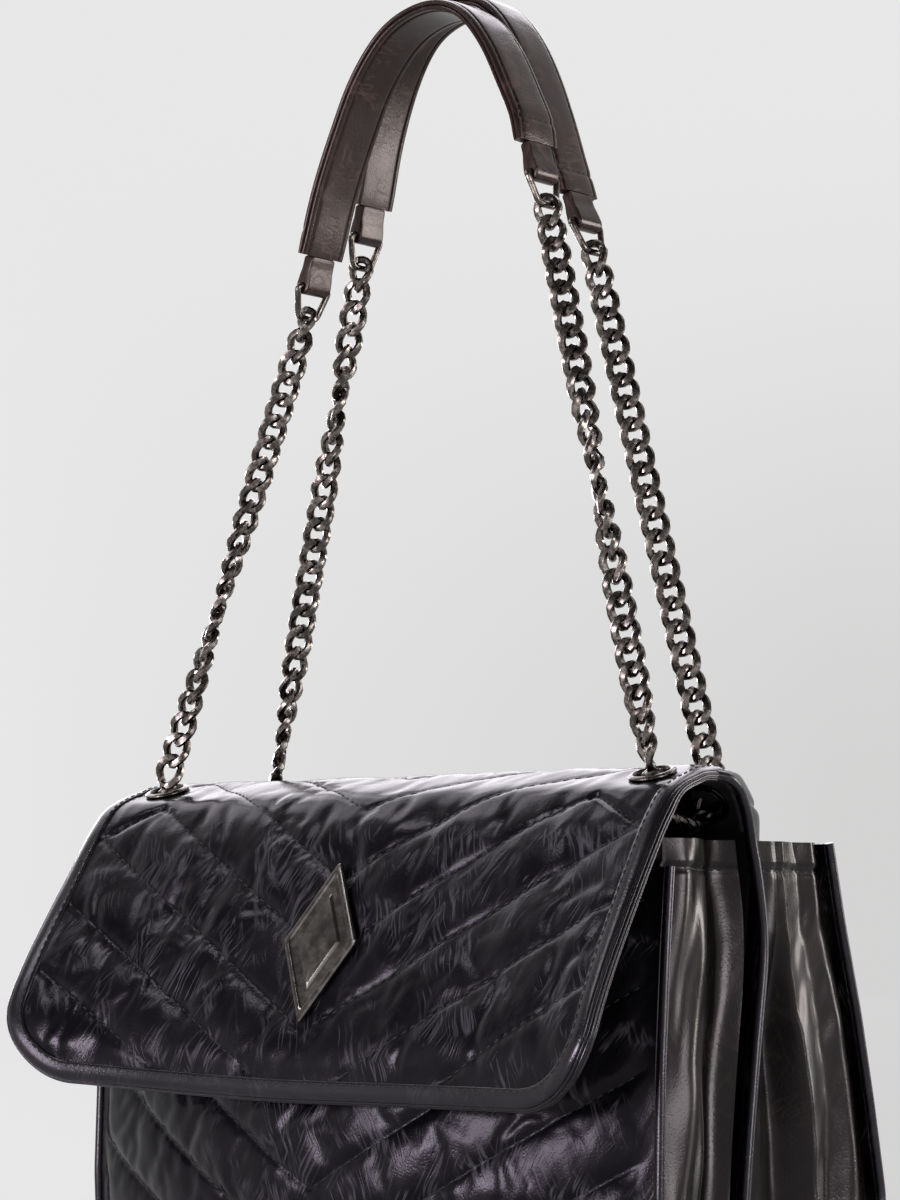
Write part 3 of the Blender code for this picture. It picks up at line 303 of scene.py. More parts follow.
def crinkle_group():
    """Creases of glazed hide.

    The place is bent by a slow noise. Two sets of fine hair-like creases run along leaning
    ways: each is one minus the distance of a stretched noise from its middle value. A slow
    noise decides which set shows, and another where the hide stays smooth, over a soft
    stretched rise and fall. Puts out the height, the crease lines and a slow cloudiness.
    """
    group, place, given, put = new_group(
        "crinkle", (("Scale", 1.0), ("Hairs", 1.0)), ("Height", "Lines", "Cloud")
    )
    bend = add_node(group, "ShaderNodeTexNoise", Vector=place, Scale=38.0, Detail=2.0)
    centred = vector_node(group, "SUBTRACT", bend.outputs["Color"], (0.5, 0.5, 0.5))
    moved = vector_node(group, "MULTIPLY_ADD", centred, (0.010, 0.010, 0.010), place)
    sized = vector_node(group, "SCALE", moved, Scale=given["Scale"])

    def leaning(lean, stretch):
        turned = add_node(group, "ShaderNodeMapping", Vector=sized, Rotation=(0, lean, 0))
        return vector_node(group, "MULTIPLY", turned.outputs[0], (1, 2 * stretch, stretch))

    def hairs(lean, stretch, scale):
        noise = noise_at(group, leaning(math.radians(lean), stretch), scale, 1.0)
        away = math_node(group, "ABSOLUTE", math_node(group, "SUBTRACT", noise, 0.5))
        near = math_node(group, "MINIMUM", math_node(group, "MULTIPLY", away, 15.0), 1.0)
        return math_node(group, "POWER", math_node(group, "SUBTRACT", 1.0, near), 1.5)

    def patches(scale, low, high):
        return ranged(group, noise_at(group, sized, scale, 2.0), low, high)

    which = patches(55.0, 0.44, 0.56)
    lines = math_node(group, "MULTIPLY", hairs(-26, 0.08, 460.0), which)
    spread = math_node(group, "SUBTRACT", 1.0, which)
    lines = math_node(group, "MULTIPLY_ADD", hairs(20, 0.09, 400.0), spread, lines)
    lines = math_node(group, "MULTIPLY", lines, patches(65.0, 0.46, 0.62))
    lines = math_node(group, "MULTIPLY", lines, given["Hairs"], clamp=True)
    soft = noise_at(group, leaning(math.radians(-24), 0.22), 170.0, 1.5)
    height = math_node(group, "MULTIPLY", soft, 0.50)
    feed(put["Height"], math_node(group, "MULTIPLY_ADD", lines, 0.07, height))
    feed(put["Lines"], lines)
    feed(put["Cloud"], patches(30.0, 0.36, 0.64))
    return group


def pore_group():
    """Pores of smooth hide: round dips of a fine cell pattern, with a fine noise between."""
    group, place, given, put = new_group("pores", (("Scale", 900.0),), ("Height", "Wear"))
    cell = add_node(group, "ShaderNodeTexVoronoi", feature="F1", Vector=place,
                    Scale=given["Scale"])
    dip = ranged(group, cell.outputs["Distance"], 0.0, 0.55)
    grain = noise_at(group, place, 1500.0, 2.0)
    feed(put["Height"], math_node(group, "MULTIPLY_ADD", grain, 0.35, dip))
    feed(put["Wear"], ranged(group, noise_at(group, place, 75.0, 4.0), 0.48, 0.66))
    return group


crinkle = crinkle_group()
pores = pore_group()


# The worn colour is mostly painted highlight: it is laid along the crease lines for their glints,
# and only a little into the real wear patches.
def hide_material(name, colour, worn, gloss, dull, crinkled, crinkle_scale, hairs, coat, shine,
                  cast, quarter=0.0):
    """Glazed leather: crinkle and pores as bump, and duller along the crease lines. The crease
    lines are also painted paler, a painted highlight standing in for their glints, and the pores'
    wear patches are a little paler. A point's calm value says how far the crinkle is smoothed away
    there."""
    material, tree, shader, place = shader_of(
        name, Specular_IOR_Level=shine, Specular_Tint=(*cast, 1), Coat_Weight=coat,
        Coat_Roughness=0.20, Coat_IOR=1.25,
    )
    if quarter:
        place = add_node(tree, "ShaderNodeMapping", Vector=place, Rotation=(0, 0, quarter))
        place = place.outputs[0]
    folds = add_node(tree, "ShaderNodeGroup", node_tree=crinkle, Place=place,
                     Scale=crinkle_scale, Hairs=hairs).outputs
    skin = add_node(tree, "ShaderNodeGroup", node_tree=pores, Place=place).outputs
    calm = add_node(tree, "ShaderNodeAttribute", attribute_name="calm").outputs["Fac"]
    loud = math_node(tree, "SUBTRACT", 1.0, calm)
    creased = math_node(tree, "MULTIPLY", folds["Lines"], loud)
    # Base colour: painted paler along the crease lines as a painted highlight, and a little paler
    # in the wear patches.
    share = math_node(tree, "MULTIPLY", creased, 0.9)
    share = math_node(tree, "MULTIPLY_ADD", skin["Wear"], 0.04, share, clamp=True)
    feed(shader.inputs["Base Color"], mixed_colour(tree, share, (*colour, 1), (*worn, 1)))
    rough = ranged(tree, folds["Cloud"], 0.0, 1.0, gloss, (gloss + dull) / 2)
    rough = math_node(tree, "MULTIPLY_ADD", creased, dull - gloss, rough, clamp=True)
    feed(shader.inputs["Roughness"], math_node(tree, "MULTIPLY_ADD", calm, -0.10, rough))
    folded = math_node(tree, "MULTIPLY", folds["Height"], loud)
    folded = bumped(tree, folded, crinkled, CRINKLE_DEPTH)
    feed(shader.inputs["Coat Normal"], folded)
    feed(shader.inputs["Normal"],
         bumped(tree, skin["Height"], 0.25, PORE_DEPTH, Normal=folded))
    return material


# In each hide the second colour is the worn one: painted along the crease lines as a painted
# highlight for their glints, and a little into the wear patches.
flap_hide = hide_material(
    "crinkled_hide", (0.0020, 0.0017, 0.0024), (0.036, 0.033, 0.039), 0.24, 0.40,
    0.52, 1.0, 1.0, 0.08, 0.115, (0.96, 0.85, 1.0),
)
gusset_hide = hide_material(
    "smooth_hide", (0.0030, 0.0024, 0.0022), (0.022, 0.018, 0.016), 0.27, 0.40,
    0.08, 0.8, 0.4, 0.14, 0.26, (1.0, 0.88, 0.93), math.pi / 2,
)
edge_hide = hide_material(
    "edge_hide", (0.0028, 0.0024, 0.0030), (0.020, 0.018, 0.020), 0.24, 0.36,
    0.08, 1.2, 0.5, 0.14, 0.30, (0.95, 0.88, 1.0),
)
pad_hide = hide_material(
    "pad_hide", (0.0100, 0.0044, 0.0041), (0.046, 0.024, 0.020), 0.27, 0.42,
    0.30, 1.0, 0.9, 0.10, 0.26, (1.0, 0.82, 0.80),
)

# Thread: waxed black polyester, laid in short stitches a little proud of its groove.
thread_black, tree, shader, place = shader_of(
    "waxed_thread", Roughness=0.5, Specular_IOR_Level=0.2
)
ply = noise_at(tree, place, 2600.0, 2.0)
colour = mixed_colour(tree, ply, (0.003, 0.003, 0.0035, 1), (0.020, 0.019, 0.021, 1))
feed(shader.inputs["Base Color"], colour)
feed(shader.inputs["Normal"], bumped(tree, ply, 0.5, THREAD_DEPTH))

# Suede lining: a short dark nap that lies in soft cloudy strokes.
suede, tree, shader, place = shader_of(
    "lining_nap", Roughness=0.92, Specular_IOR_Level=0.2, Sheen_Weight=0.25, Sheen_Roughness=0.4
)
nap = noise_at(tree, place, 2200.0, 2.0)
stroke = math_node(tree, "MULTIPLY", noise_at(tree, place, 22.0, 3.0), 0.7)
stroke = math_node(tree, "MULTIPLY_ADD", nap, 0.4, stroke)
colour = mixed_colour(tree, stroke, (0.016, 0.014, 0.014, 1), (0.036, 0.032, 0.031, 1))
feed(shader.inputs["Base Color"], colour)
feed(shader.inputs["Normal"], bumped(tree, nap, 0.5, THREAD_DEPTH))

# Leather of the flap, the crown and the back wall: quilted calf over thin wadding. One hide
# runs from the flap's hem over its front crease and the arched crown to the rear crease, and
# down the back wall to the base. It is modelled in two lengths that meet on the crown's top.
HALF_BODY, BODY_TOP = 0.130, 0.178
FRONT_DEPTH, FRONT_BULGE = 0.0714, 0.0275
REAR_DEPTH, REAR_BULGE = 0.070, 0.007
REAR_CREASE_Y, REAR_CREASE_Z = 0.005, 0.182
FRONT_CREASE_Y, FRONT_CREASE_Z = -0.0703, 0.1885
CROWN_RISE, CROWN_HALF = 0.0216, 0.135
WALL_FOOT, FRONT_TOP = 0.0042, 0.168
FLAP_DROP, FLAP_FLARE, HEM_CORNER = 0.1003, 0.0130, 0.030
FLAP_LIFT, BACK_TUCK = 0.0062, 0.020
FRONT_SEAT, REAR_SEAT = 0.019, 0.028
LEATHER, WADDING, NAP, FIT = 0.0016, 0.0014, 0.0010, 0.0003
SOCKET_DEPTH, PADDED_SHEET = 0.0128, 0.0029
ACROSS = np.array([1.0, 0, 0])
QUILT_STEP, QUILT_RISE, QUILT_TOP, QUILT_TURN = 0.0287, 0.6, 0.1095, 0.1035
front_edge_shares = ((0, 0.955), (0.33, 1.0), (0.6, 0.98), (0.85, 0.935), (1, 0.90))
hem_shares, snap_shares = (1.022, 1.0), (0.984, 0.8475)
low_shares, high_shares = (0.920, 0.7628), (0.261, 0.1645)
crown_middle_shares = (
    (0, 0.301), (0.06, 0.551), (0.113, 0.657), (0.393, 0.981), (0.587, 1.0), (0.793, 0.889),
    (0.973, 0.255), (1.0, 0.139), (1.0, 0),
)
crown_end_shares = (
    (0, 0.301), (0.06, 0.551), (0.187, 0.718), (0.32, 0.861), (0.467, 0.875), (0.58, 0.694),
    (0.667, 0.37), (0.733, 0.16), (0.733, 0),
)
crown_narrow_shares = (0, 0, 0, 0, 0, 0.1, 0.55, 0.9, 1.0)
back_lean_shares = (
    (0, -2.6), (0.29, -2.1), (0.47, -1.3), (0.64, -0.4), (0.78, 0.5), (0.92, 1.0), (1, 1.0)
)
back_tuck_shares = (
    (0, 0.30), (0.47, 0.32), (0.64, 0.34), (0.78, 0.36), (0.92, 0.75), (1, 1.0)
)


def along_table(shares, value):
    """Straight-line reading of a table of (place, value) pairs at an array of places."""
    places, values = zip(*shares)
    return np.interp(value, places, values)


def read_rows(at, places, rows):
    """Rows of numbers, one at each of the places, read in straight lines between them."""
    return np.stack([np.interp(at, places, column) for column in rows.T], -1)


def run_lengths(points):
    """How far along a path of straight runs each of its points lies."""
    steps = np.linalg.norm(np.diff(points, axis=0), axis=1)
    return np.concatenate([[0], np.cumsum(steps)])


def unit(vectors):
    """The vectors at a length of one."""
    return vectors / np.maximum(np.linalg.norm(vectors, axis=-1, keepdims=True), 1e-12)


def square_to(run, ways):
    """What is left of the ways at right angles to the run, at a length of one."""
    return unit(ways - (ways * run).sum(-1, keepdims=True) * run)


def between_edges(distance_in, reach):
    """Zero at an edge, rising smoothly to one at a reach from it."""
    share = np.clip(distance_in / reach, 0, 1)
    return share * share * (3 - 2 * share)


def averaged(longer, window):
    """Running average under a raised cosine, where it fits within the rows."""
    weights = np.hanning(2 * window + 3)[1:-1]
    weights = weights / weights.sum()
    return np.stack([np.convolve(line, weights, "valid") for line in longer.T], 1)


def eased(values, window):
    """Running average; beyond the ends the values are turned over."""
    before = 2 * values[0] - values[window:0:-1]
    after = 2 * values[-1] - values[-2:-window - 2:-1]
    return averaged(np.concatenate([before, values, after]), window)


def front_y(x, z):
    """Depth of the front wall: its edge by height, and a bulge that is one less the square
    of the place across times the sine of the place up, raised to a share."""
    up = np.clip((z - WALL_FOOT) / (FRONT_TOP - WALL_FOOT), 0, 1)
    swell = np.sin(math.pi * up**0.72) * np.clip(1 - (x / HALF_BODY) ** 2, 0, 1)
    edge = along_table(front_edge_shares, np.clip(z / FRONT_TOP, 0, 1))
    return -FRONT_DEPTH * edge - FRONT_BULGE * swell


# The section's points, from the hem to the back wall's foot: each is the middle's depth and
# height, the ends' depth and height, half the width, and a share of the flare.
snap_z = FRONT_CREASE_Z - FLAP_DROP + 0.0090
snap_edges = np.array([snap_z - 0.00915, snap_z + 0.00915])
socket_y = front_y(np.zeros(2), snap_edges).mean()
flap_forward = FRONT_CREASE_Y - socket_y + SOCKET_DEPTH
hem_point, snap_point, low_point, high_point = [
    np.array([FRONT_CREASE_Y - flap_forward * a, FRONT_CREASE_Z - FLAP_DROP * b])
    for a, b in (hem_shares, snap_shares, low_shares, high_shares)
]
crease_up = unit(np.array([0.06 * 0.0753, 0.25 * CROWN_RISE]))
crease_point = np.array([FRONT_CREASE_Y, FRONT_CREASE_Z])
flap_rows = [(*hem_point, 1.0), (*snap_point, 1.0), (*low_point, 1.0)]
for share, flare in ((0.18, 0.98), (0.40, 0.84), (0.68, 0.56)):
    flap_rows.append((*(low_point + (high_point - low_point) * share), flare))
flap_rows += [(*high_point, 0.20), (*(crease_point - crease_up * 0.007), 0.0)]
section = [(y, z, y, z, CROWN_HALF, flare) for y, z, flare in flap_rows]
crown_depth = REAR_CREASE_Y - FRONT_CREASE_Y
for middle, end, narrow in zip(crown_middle_shares, crown_end_shares, crown_narrow_shares):
    section.append((
        FRONT_CREASE_Y + crown_depth * middle[0], REAR_CREASE_Z + CROWN_RISE * middle[1],
        FRONT_CREASE_Y + crown_depth * end[0], REAR_CREASE_Z + CROWN_RISE * end[1],
        CROWN_HALF - 0.004 * narrow, 0.0,
    ))
for share in (0.92, 0.78, 0.64, 0.47, 0.29, 0.0):
    z = max(REAR_CREASE_Z * share, 0.0027)
    y = REAR_CREASE_Y * along_table(back_lean_shares, share)
    tucked = y - BACK_TUCK * along_table(back_tuck_shares, share)
    section.append((y, z, tucked, z, 0.128 + 0.003 * share, 0.0))
section = np.array(section)
lengths = run_lengths(section[:, :2])
FLAP_LENGTH, CROWN_TOP, REAR_CREASE, HIDE_LENGTH = lengths[[8, 12, 16, -1]]
FRONT_SEAT_AT, REAR_SEAT_AT = lengths[10:12].mean(), lengths[13:15].mean()
fine_length = np.arange(0, HIDE_LENGTH, 0.0005)
fine_section = read_rows(fine_length, lengths, section)
soft_share = np.clip((fine_length - REAR_CREASE - 0.004) / 0.030, 0, 1)[:, None]
soft_section = eased(fine_section, 14) * (1 - soft_share) + eased(fine_section, 44) * soft_share


def hide_surface(length, across):
    """The hide's face: the section at a length up from the hem, read between its middle and
    its ends. The width is drawn in round the hem's corners, the sides flare forward and the
    left corner is lifted a little."""
    row = read_rows(length, fine_length, soft_section)
    middle_y, middle_z, end_y, end_z, half, flare = np.moveaxis(row, -1, 0)
    short = np.clip(HEM_CORNER - length, 0, None)
    half = half - HEM_CORNER + np.sqrt(np.clip(HEM_CORNER**2 - short**2, 0, None))
    x = half * across
    tuck = between_edges(np.abs(across) - 0.925, 0.075)
    y = middle_y + (end_y - middle_y) * tuck - FLAP_FLARE * flare * np.abs(x / CROWN_HALF) ** 3
    z = middle_z + (end_z - middle_z) * tuck
    low = np.clip(1 - length / (0.8 * FLAP_LENGTH), 0, 1)
    z = z + FLAP_LIFT * low * np.clip(-x / CROWN_HALF, 0, 1) ** 1.5
    return np.stack([x, y, z], -1)


def hide_rim(length, across):
    """How far a place on the hide is from its nearest edge."""
    side = (1 - np.abs(across)) * CROWN_HALF
    return np.minimum(np.minimum(side, length), HIDE_LENGTH - length)


def seat_gap(x, length):
    """How far a place on the hide is from the middle of the nearest eyelet."""
    over = np.abs(x) - CROWN_HALF
    return np.minimum(np.hypot(over + FRONT_SEAT, length - FRONT_SEAT_AT),
                      np.hypot(over + REAR_SEAT, length - REAR_SEAT_AT))


def face_way(points):
    """Unit normals of a grid: the cross product of its two central differences."""
    return unit(np.cross(np.gradient(points, axis=1), np.gradient(points, axis=0)))


def waves(p, q, length, stretch, lean, seed, count=22):
    """A smooth random field: the sum of cosines whose lengths are near one length, longer by
    stretch along the leaning way, divided by the root of half their number."""
    draw = np.random.default_rng(seed)
    a, b = math.cos(lean), math.sin(lean)
    along, over = p * a + q * b, q * a - p * b
    turn = draw.uniform(0, 2 * math.pi, count)
    size = draw.uniform(0.7, 1.35, count) / length
    start = draw.uniform(0, 2 * math.pi, count)
    total = np.zeros_like(p)
    for t, s, o in zip(turn, size, start):
        total += np.cos(
            2 * math.pi * s * (along * math.cos(t) / stretch + over * math.sin(t)) + o
        )
    return total / math.sqrt(count / 2)


def hide_creases(p, q, lean, seed):
    """Height of the hide's soft creases: bent leaning random fields of two sizes, the finer
    one in patches, with narrower hollows than rises: each is less the square of itself."""
    bent_p = p + 0.0030 * waves(p, q, 0.026, 1, 0, seed)
    bent_q = q + 0.0030 * waves(p, q, 0.026, 1, 0, seed + 1)
    patch = np.clip(0.5 + 0.5 * waves(p, q, 0.035, 1, 0, seed + 2), 0, 1)
    broad = waves(bent_p, bent_q, 0.017, 2.8, lean, seed + 4)
    middle = waves(bent_p, bent_q, 0.0085, 2.8, lean - 0.25, seed + 5)
    slow = waves(p, q, 0.034, 1.5, lean, seed + 3)
    return (
        0.00024 * slow + 0.00018 * (broad - 0.25 * broad**2)
        + 0.00008 * (middle - 0.3 * middle**2) * patch
    )


def flap_quilt(x, length):
    """Distance to the nearest chevron seam of the flap and crown, and the place along it.
    The arms rise outwards; above the third arm they turn down again near the ends."""
    slope = math.cos(math.atan(QUILT_RISE))
    wide = np.abs(x)
    straight = (length - QUILT_RISE * wide - QUILT_TOP) / QUILT_STEP
    folded = QUILT_TURN - np.abs(wide - QUILT_TURN)
    turned = (length - QUILT_RISE * folded - QUILT_TOP) / QUILT_STEP
    lower = np.abs(straight - np.minimum(np.round(straight), -3))
    upper = np.abs(turned - np.maximum(np.round(turned), -2))
    return np.minimum(lower, upper) * QUILT_STEP * slope, wide / slope


def quilted(distance, place, puff):
    """Height of the padding: level between seams, falling to each seam as a bell, with small
    puckers beside it at the length of a stitch."""
    fall = np.exp(-(distance / 0.0024) ** 2)
    cut = np.exp(-(distance / 0.0007) ** 2)
    pucker = np.cos(2 * math.pi * place / 0.0042) * np.exp(-distance / 0.0028)
    return puff * (1 - fall) - 0.00055 * cut - puff * 0.15 + 0.00008 * pucker


def shell(name, outer, depth, material, sharp=42.0, calm=None, plain=None):
    """A closed sheet: a grid of outer points, and behind it, that depth below the plain grid
    along its normals, the inner ones. The calm values are kept on its points."""
    plain = outer if plain is None else plain
    inner = plain - face_way(plain) * depth
    band = np.concatenate([outer, inner[:, ::-1]], 1)
    rows, cols = band.shape[:2]
    faces = grid_faces(rows, cols, wrap_cols=True)
    half = cols // 2
    left = np.arange(half - 1)
    ends = []
    for row, flip in ((0, True), (rows - 1, False)):
        first = row * cols
        quad = np.stack([
            first + left, first + left + 1, first + cols - 2 - left, first + cols - 1 - left
        ], -1)
        ends.append(quad[:, ::-1] if flip else quad)
    piece = mesh_piece(name, band, np.concatenate([faces, *ends]), material, sharp)
    if calm is not None:
        values = np.ascontiguousarray(np.concatenate([calm, calm[:, ::-1]], 1), np.float32)
        layer = piece.data.attributes.new("calm", "FLOAT", "POINT")
        layer.data.foreach_set("value", values.ravel())
    return piece


CLOTH_SIZE, CLOTH_FRAMES = 10.0, 22


def swollen(face, held, slack, push=0.5, cap=0.0020):
    """How a grid moves as padded cloth: its held points are pinned, it is larger than its
    place by the slack, and a pressure pushes it outwards. The moves are capped. The cloth is
    run at ten times its size, where the solver is steady."""
    start = np.ascontiguousarray(face * CLOTH_SIZE, np.float32)
    piece = bare_mesh("cloth", start, grid_faces(*held.shape))
    group = piece.vertex_groups.new(name="held")
    group.add([int(index) for index in np.flatnonzero(held.ravel())], 1.0, "REPLACE")
    cloth = piece.modifiers.new("cloth", "CLOTH")
    settings = cloth.settings
    settings.quality = 5
    settings.mass = 0.3
    settings.tension_stiffness = settings.compression_stiffness = 15
    settings.shear_stiffness = 5
    settings.bending_stiffness = 0.12
    settings.vertex_group_mass = "held"
    settings.shrink_min = -slack
    settings.use_pressure = True
    settings.uniform_pressure_force = push
    settings.effector_weights.gravity = 0
    cloth.collision_settings.use_collision = False
    cloth.point_cache.frame_start = 1
    cloth.point_cache.frame_end = CLOTH_FRAMES
    for frame_number in range(1, CLOTH_FRAMES + 1):
        scene.frame_set(frame_number)
    worn = piece.evaluated_get(bpy.context.evaluated_depsgraph_get())
    settled = np.empty(start.size, np.float32)
    worn.data.vertices.foreach_get("co", settled)
    bpy.data.objects.remove(piece, do_unlink=True)
    scene.frame_set(1)
    moved = (settled.reshape(start.shape) - start) / CLOTH_SIZE
    size = np.linalg.norm(moved, axis=-1, keepdims=True)
    return moved * np.minimum(1, cap / np.maximum(size, 1e-9))


def finer(field, rows_at, cols_at, rows, cols):
    """A coarse grid's field read at finer rows and columns, in straight lines, then eased."""
    layers = []
    for layer in np.moveaxis(field, -1, 0):
        layer = read_rows(cols, cols_at, read_rows(rows, rows_at, layer).T)
        layers.append(eased(eased(layer.T, 2).T, 2).T)
    return np.stack(layers, -1)


def crown_seat(row, x):
    """The middle of a flat of the crown's section and the way that it faces."""
    low, high = [
        np.array([x, FRONT_CREASE_Y + crown_depth * crown_middle_shares[index][0],
                  REAR_CREASE_Z + CROWN_RISE * crown_middle_shares[index][1]])
        for index in (row, row + 1)
    ]
    return (low + high) / 2, unit(np.cross(ACROSS, high - low))


def over_flap_crease(piece):
    """The piece's transform is baked into its points; it is not bent."""
    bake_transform(piece)


def over_rear_crease(piece):
    """The piece's transform is baked into its points; it is not bent."""
    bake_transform(piece)


seats = {}
for side, word in ((-1, "left"), (1, "right")):
    seats[f"front_{word}"] = crown_seat(2, side * (CROWN_HALF - FRONT_SEAT))
    seats[f"rear_{word}"] = crown_seat(5, side * (CROWN_HALF - REAR_SEAT))
HIDE_ROWS, HIDE_COLS, CORNER_ROWS, LOOSE_COLS = 330, 240, 22, 126
HIDE_LEAN = math.radians(62)
low_rows = HEM_CORNER * (1 - np.cos(np.linspace(0.0, math.pi / 2, CORNER_ROWS)))
high_rows = np.linspace(HEM_CORNER, HIDE_LENGTH, HIDE_ROWS - CORNER_ROWS + 1)[1:]
hide_lengths = np.concatenate([low_rows, high_rows])
hide_shares = np.linspace(-1, 1, HIDE_COLS)
across_at, rows_at = np.meshgrid(hide_shares, hide_lengths)
hide_base = hide_surface(rows_at, across_at)
hide_way = face_way(hide_base)
hide_x = hide_base[..., 0]
distance, seam_place = flap_quilt(hide_x, rows_at)
rim_gap, eyelet_gap = hide_rim(rows_at, across_at), seat_gap(hide_x, rows_at)
held = between_edges(rim_gap - 0.0055, 0.008) * between_edges(eyelet_gap - 0.008, 0.009)
held = held * (1 - 0.75 * (1 - between_edges(np.abs(rows_at - REAR_CREASE), 0.012)))
# The hide is calmer round the plate, over the crown, at the far left and down the back.
plate_x, plate_l = hide_x / 0.030, (rows_at - 0.058) / 0.046
plate_near = np.exp(-np.clip(plate_x**2 + plate_l**2 - 0.35, 0, None) * 1.8)
hide_calm = 0.8 * between_edges(rows_at - FLAP_LENGTH + 0.012, 0.014)
hide_calm = hide_calm * (1 - between_edges(rows_at - REAR_CREASE + 0.008, 0.012))
hide_calm = hide_calm + 0.45 * between_edges(-hide_x - 0.070, 0.035) * (1 - hide_calm)
back_fade = 1 - 0.6 * between_edges(rows_at - REAR_CREASE, 0.02)
crown_fade = 1 - 0.35 * between_edges(rows_at - FLAP_LENGTH + 0.004, 0.012)
soft = held * back_fade * crown_fade
# The cloth is a coarser grid, held at the seams and near the edges.
loose_rows = np.concatenate([low_rows[::3], np.arange(HEM_CORNER + 0.002, HIDE_LENGTH, 0.0021)])
loose_cols = np.linspace(-1, 1, LOOSE_COLS)
loose_share, loose_at = np.meshgrid(loose_cols, loose_rows)
loose = hide_surface(loose_at, loose_share)
loose_seam, _ = flap_quilt(loose[..., 0], loose_at)
fixed = (loose_seam < 0.0011) | (hide_rim(loose_at, loose_share) < 0.0065)
start = hide_creases(loose[..., 0], loose_at, HIDE_LEAN, 11)
start = face_way(loose) * 0.6 * start[..., None]
drape = swollen(loose + start * ~fixed[..., None], fixed, 0.030)
drape = finer(drape, loose_rows, loose_cols, hide_lengths, hide_shares)
creases = hide_creases(hide_x, rows_at, HIDE_LEAN, 11) * (1 - 0.4 * hide_calm)
height = soft * (quilted(distance, seam_place, 0.00036) + creases * 1.1)
height = height - 0.0016 * plate_near * held
height = np.maximum(height, np.where(rows_at < CROWN_TOP, -0.0020, -0.0010))
hide_outer = hide_base + hide_way * height[..., None] + 0.42 * drape * soft[..., None]
for place, facing in seats.values():
    away = hide_outer - place
    rise = (away * facing).sum(-1, keepdims=True)
    gap = np.linalg.norm(away - rise * facing, axis=-1, keepdims=True)
    near = (1 - between_edges(gap - 0.0085, 0.009)) * (np.abs(rise) < 0.006)
    hide_outer = hide_outer - near * rise * facing
turned = (np.abs(hide_x) > QUILT_TURN - 0.003) & (rows_at > QUILT_TOP - 0.0090)
groove = np.exp(-(distance / 0.0015) ** 2) * between_edges(rim_gap - 0.0050, 0.003)
groove = groove * between_edges(eyelet_gap - 0.0090, 0.002)
hide_outer = hide_outer - hide_way * (0.0010 * groove * np.maximum(turned, 1 - held))[..., None]
seam_row = int(np.argmin(np.abs(hide_lengths - CROWN_TOP)))

flap_leather = shell("flap_and_crown_hide", hide_outer[: seam_row + 1], PADDED_SHEET, flap_hide,
                     calm=hide_calm[: seam_row + 1], plain=hide_base[: seam_row + 1])
placed(flap_leather, "crinkled_leather", None, "flap_leather", "flap_wadding", "crown_leather")
over_flap_crease(flap_leather)
back_leather = shell("crown_and_back_hide", hide_outer[seam_row:], LEATHER, flap_hide,
                     calm=hide_calm[seam_row:], plain=hide_base[seam_row:])
placed(back_leather, "crinkled_leather", None, "back_panel")
over_rear_crease(back_leather)

# Stitching: waxed thread in short even stitches along every quilting line, laid in the
# hide's groove, with both ends of each stitch drawn down into their holes.
STITCH, STITCH_GAP, THREAD_RADIUS = 0.0030, 0.0012, 0.00032
EDGE_BAND = 0.0062
stitch_spots = np.array([-0.5, -0.30, 0.30, 0.5])
stitch_rises = np.array([-0.0005, 0.0, 0.0, -0.0005])
stitch_widths = np.array([0.6, 1.0, 1.0, 0.6])


def stitched(name, paths, slot, body, length=STITCH, gap=STITCH_GAP, radius=THREAD_RADIUS):
    """Stitches at even steps along paths of (points, outward ways). Each is four rings of six
    points about the path, at shares of the length, at small rises, closed at both ends."""
    turns = np.arange(6) * math.pi / 3
    centres, runs, ways = [], [], []
    for points, way in paths:
        size = run_lengths(points)
        spots = np.arange(length, size[-1] - length * 0.6, length + gap)
        if len(spots):
            centres.append(read_rows(spots, size, points))
            runs.append(unit(read_rows(spots + length * 0.3, size, points) - centres[-1]))
            ways.append(read_rows(spots, size, way))
    centre, run, out = (np.concatenate(item)[:, None, None] for item in (centres, runs, ways))
    out = square_to(run, out)
    spots, rises, widths = (item[None, :, None, None]
                            for item in (stitch_spots * length, stitch_rises, stitch_widths))
    rings = (
        centre + run * spots + out * rises
        + radius * widths * (np.cross(run, out) * np.cos(turns)[None, None, :, None]
                             + out * np.sin(turns)[None, None, :, None])
    )
    one = np.concatenate([grid_faces(4, 6, wrap_cols=True),
                          [[3, 2, 1, 0], [5, 4, 3, 0], [18, 19, 20, 21], [18, 21, 22, 23]]])
    faces = one[None] + (np.arange(len(rings)) * 24)[:, None, None]
    piece = mesh_piece(name, rings, faces.reshape(-1, 4), thread_black, 70)
    return placed(piece, slot, body)


def read_grid(grid, rows_at, cols_at, rows, cols):
    """A grid of points read between its rows and columns at pairs of places."""
    row = np.clip(np.interp(rows, rows_at, np.arange(len(rows_at))), 0, len(rows_at) - 1.001)
    col = np.clip(np.interp(cols, cols_at, np.arange(len(cols_at))), 0, len(cols_at) - 1.001)
    i, j = row.astype(int), col.astype(int)
    a, b = (row - i)[:, None], (col - j)[:, None]
    return ((grid[i, j] * (1 - b) + grid[i, j + 1] * b) * (1 - a)
            + (grid[i + 1, j] * (1 - b) + grid[i + 1, j + 1] * b) * a)


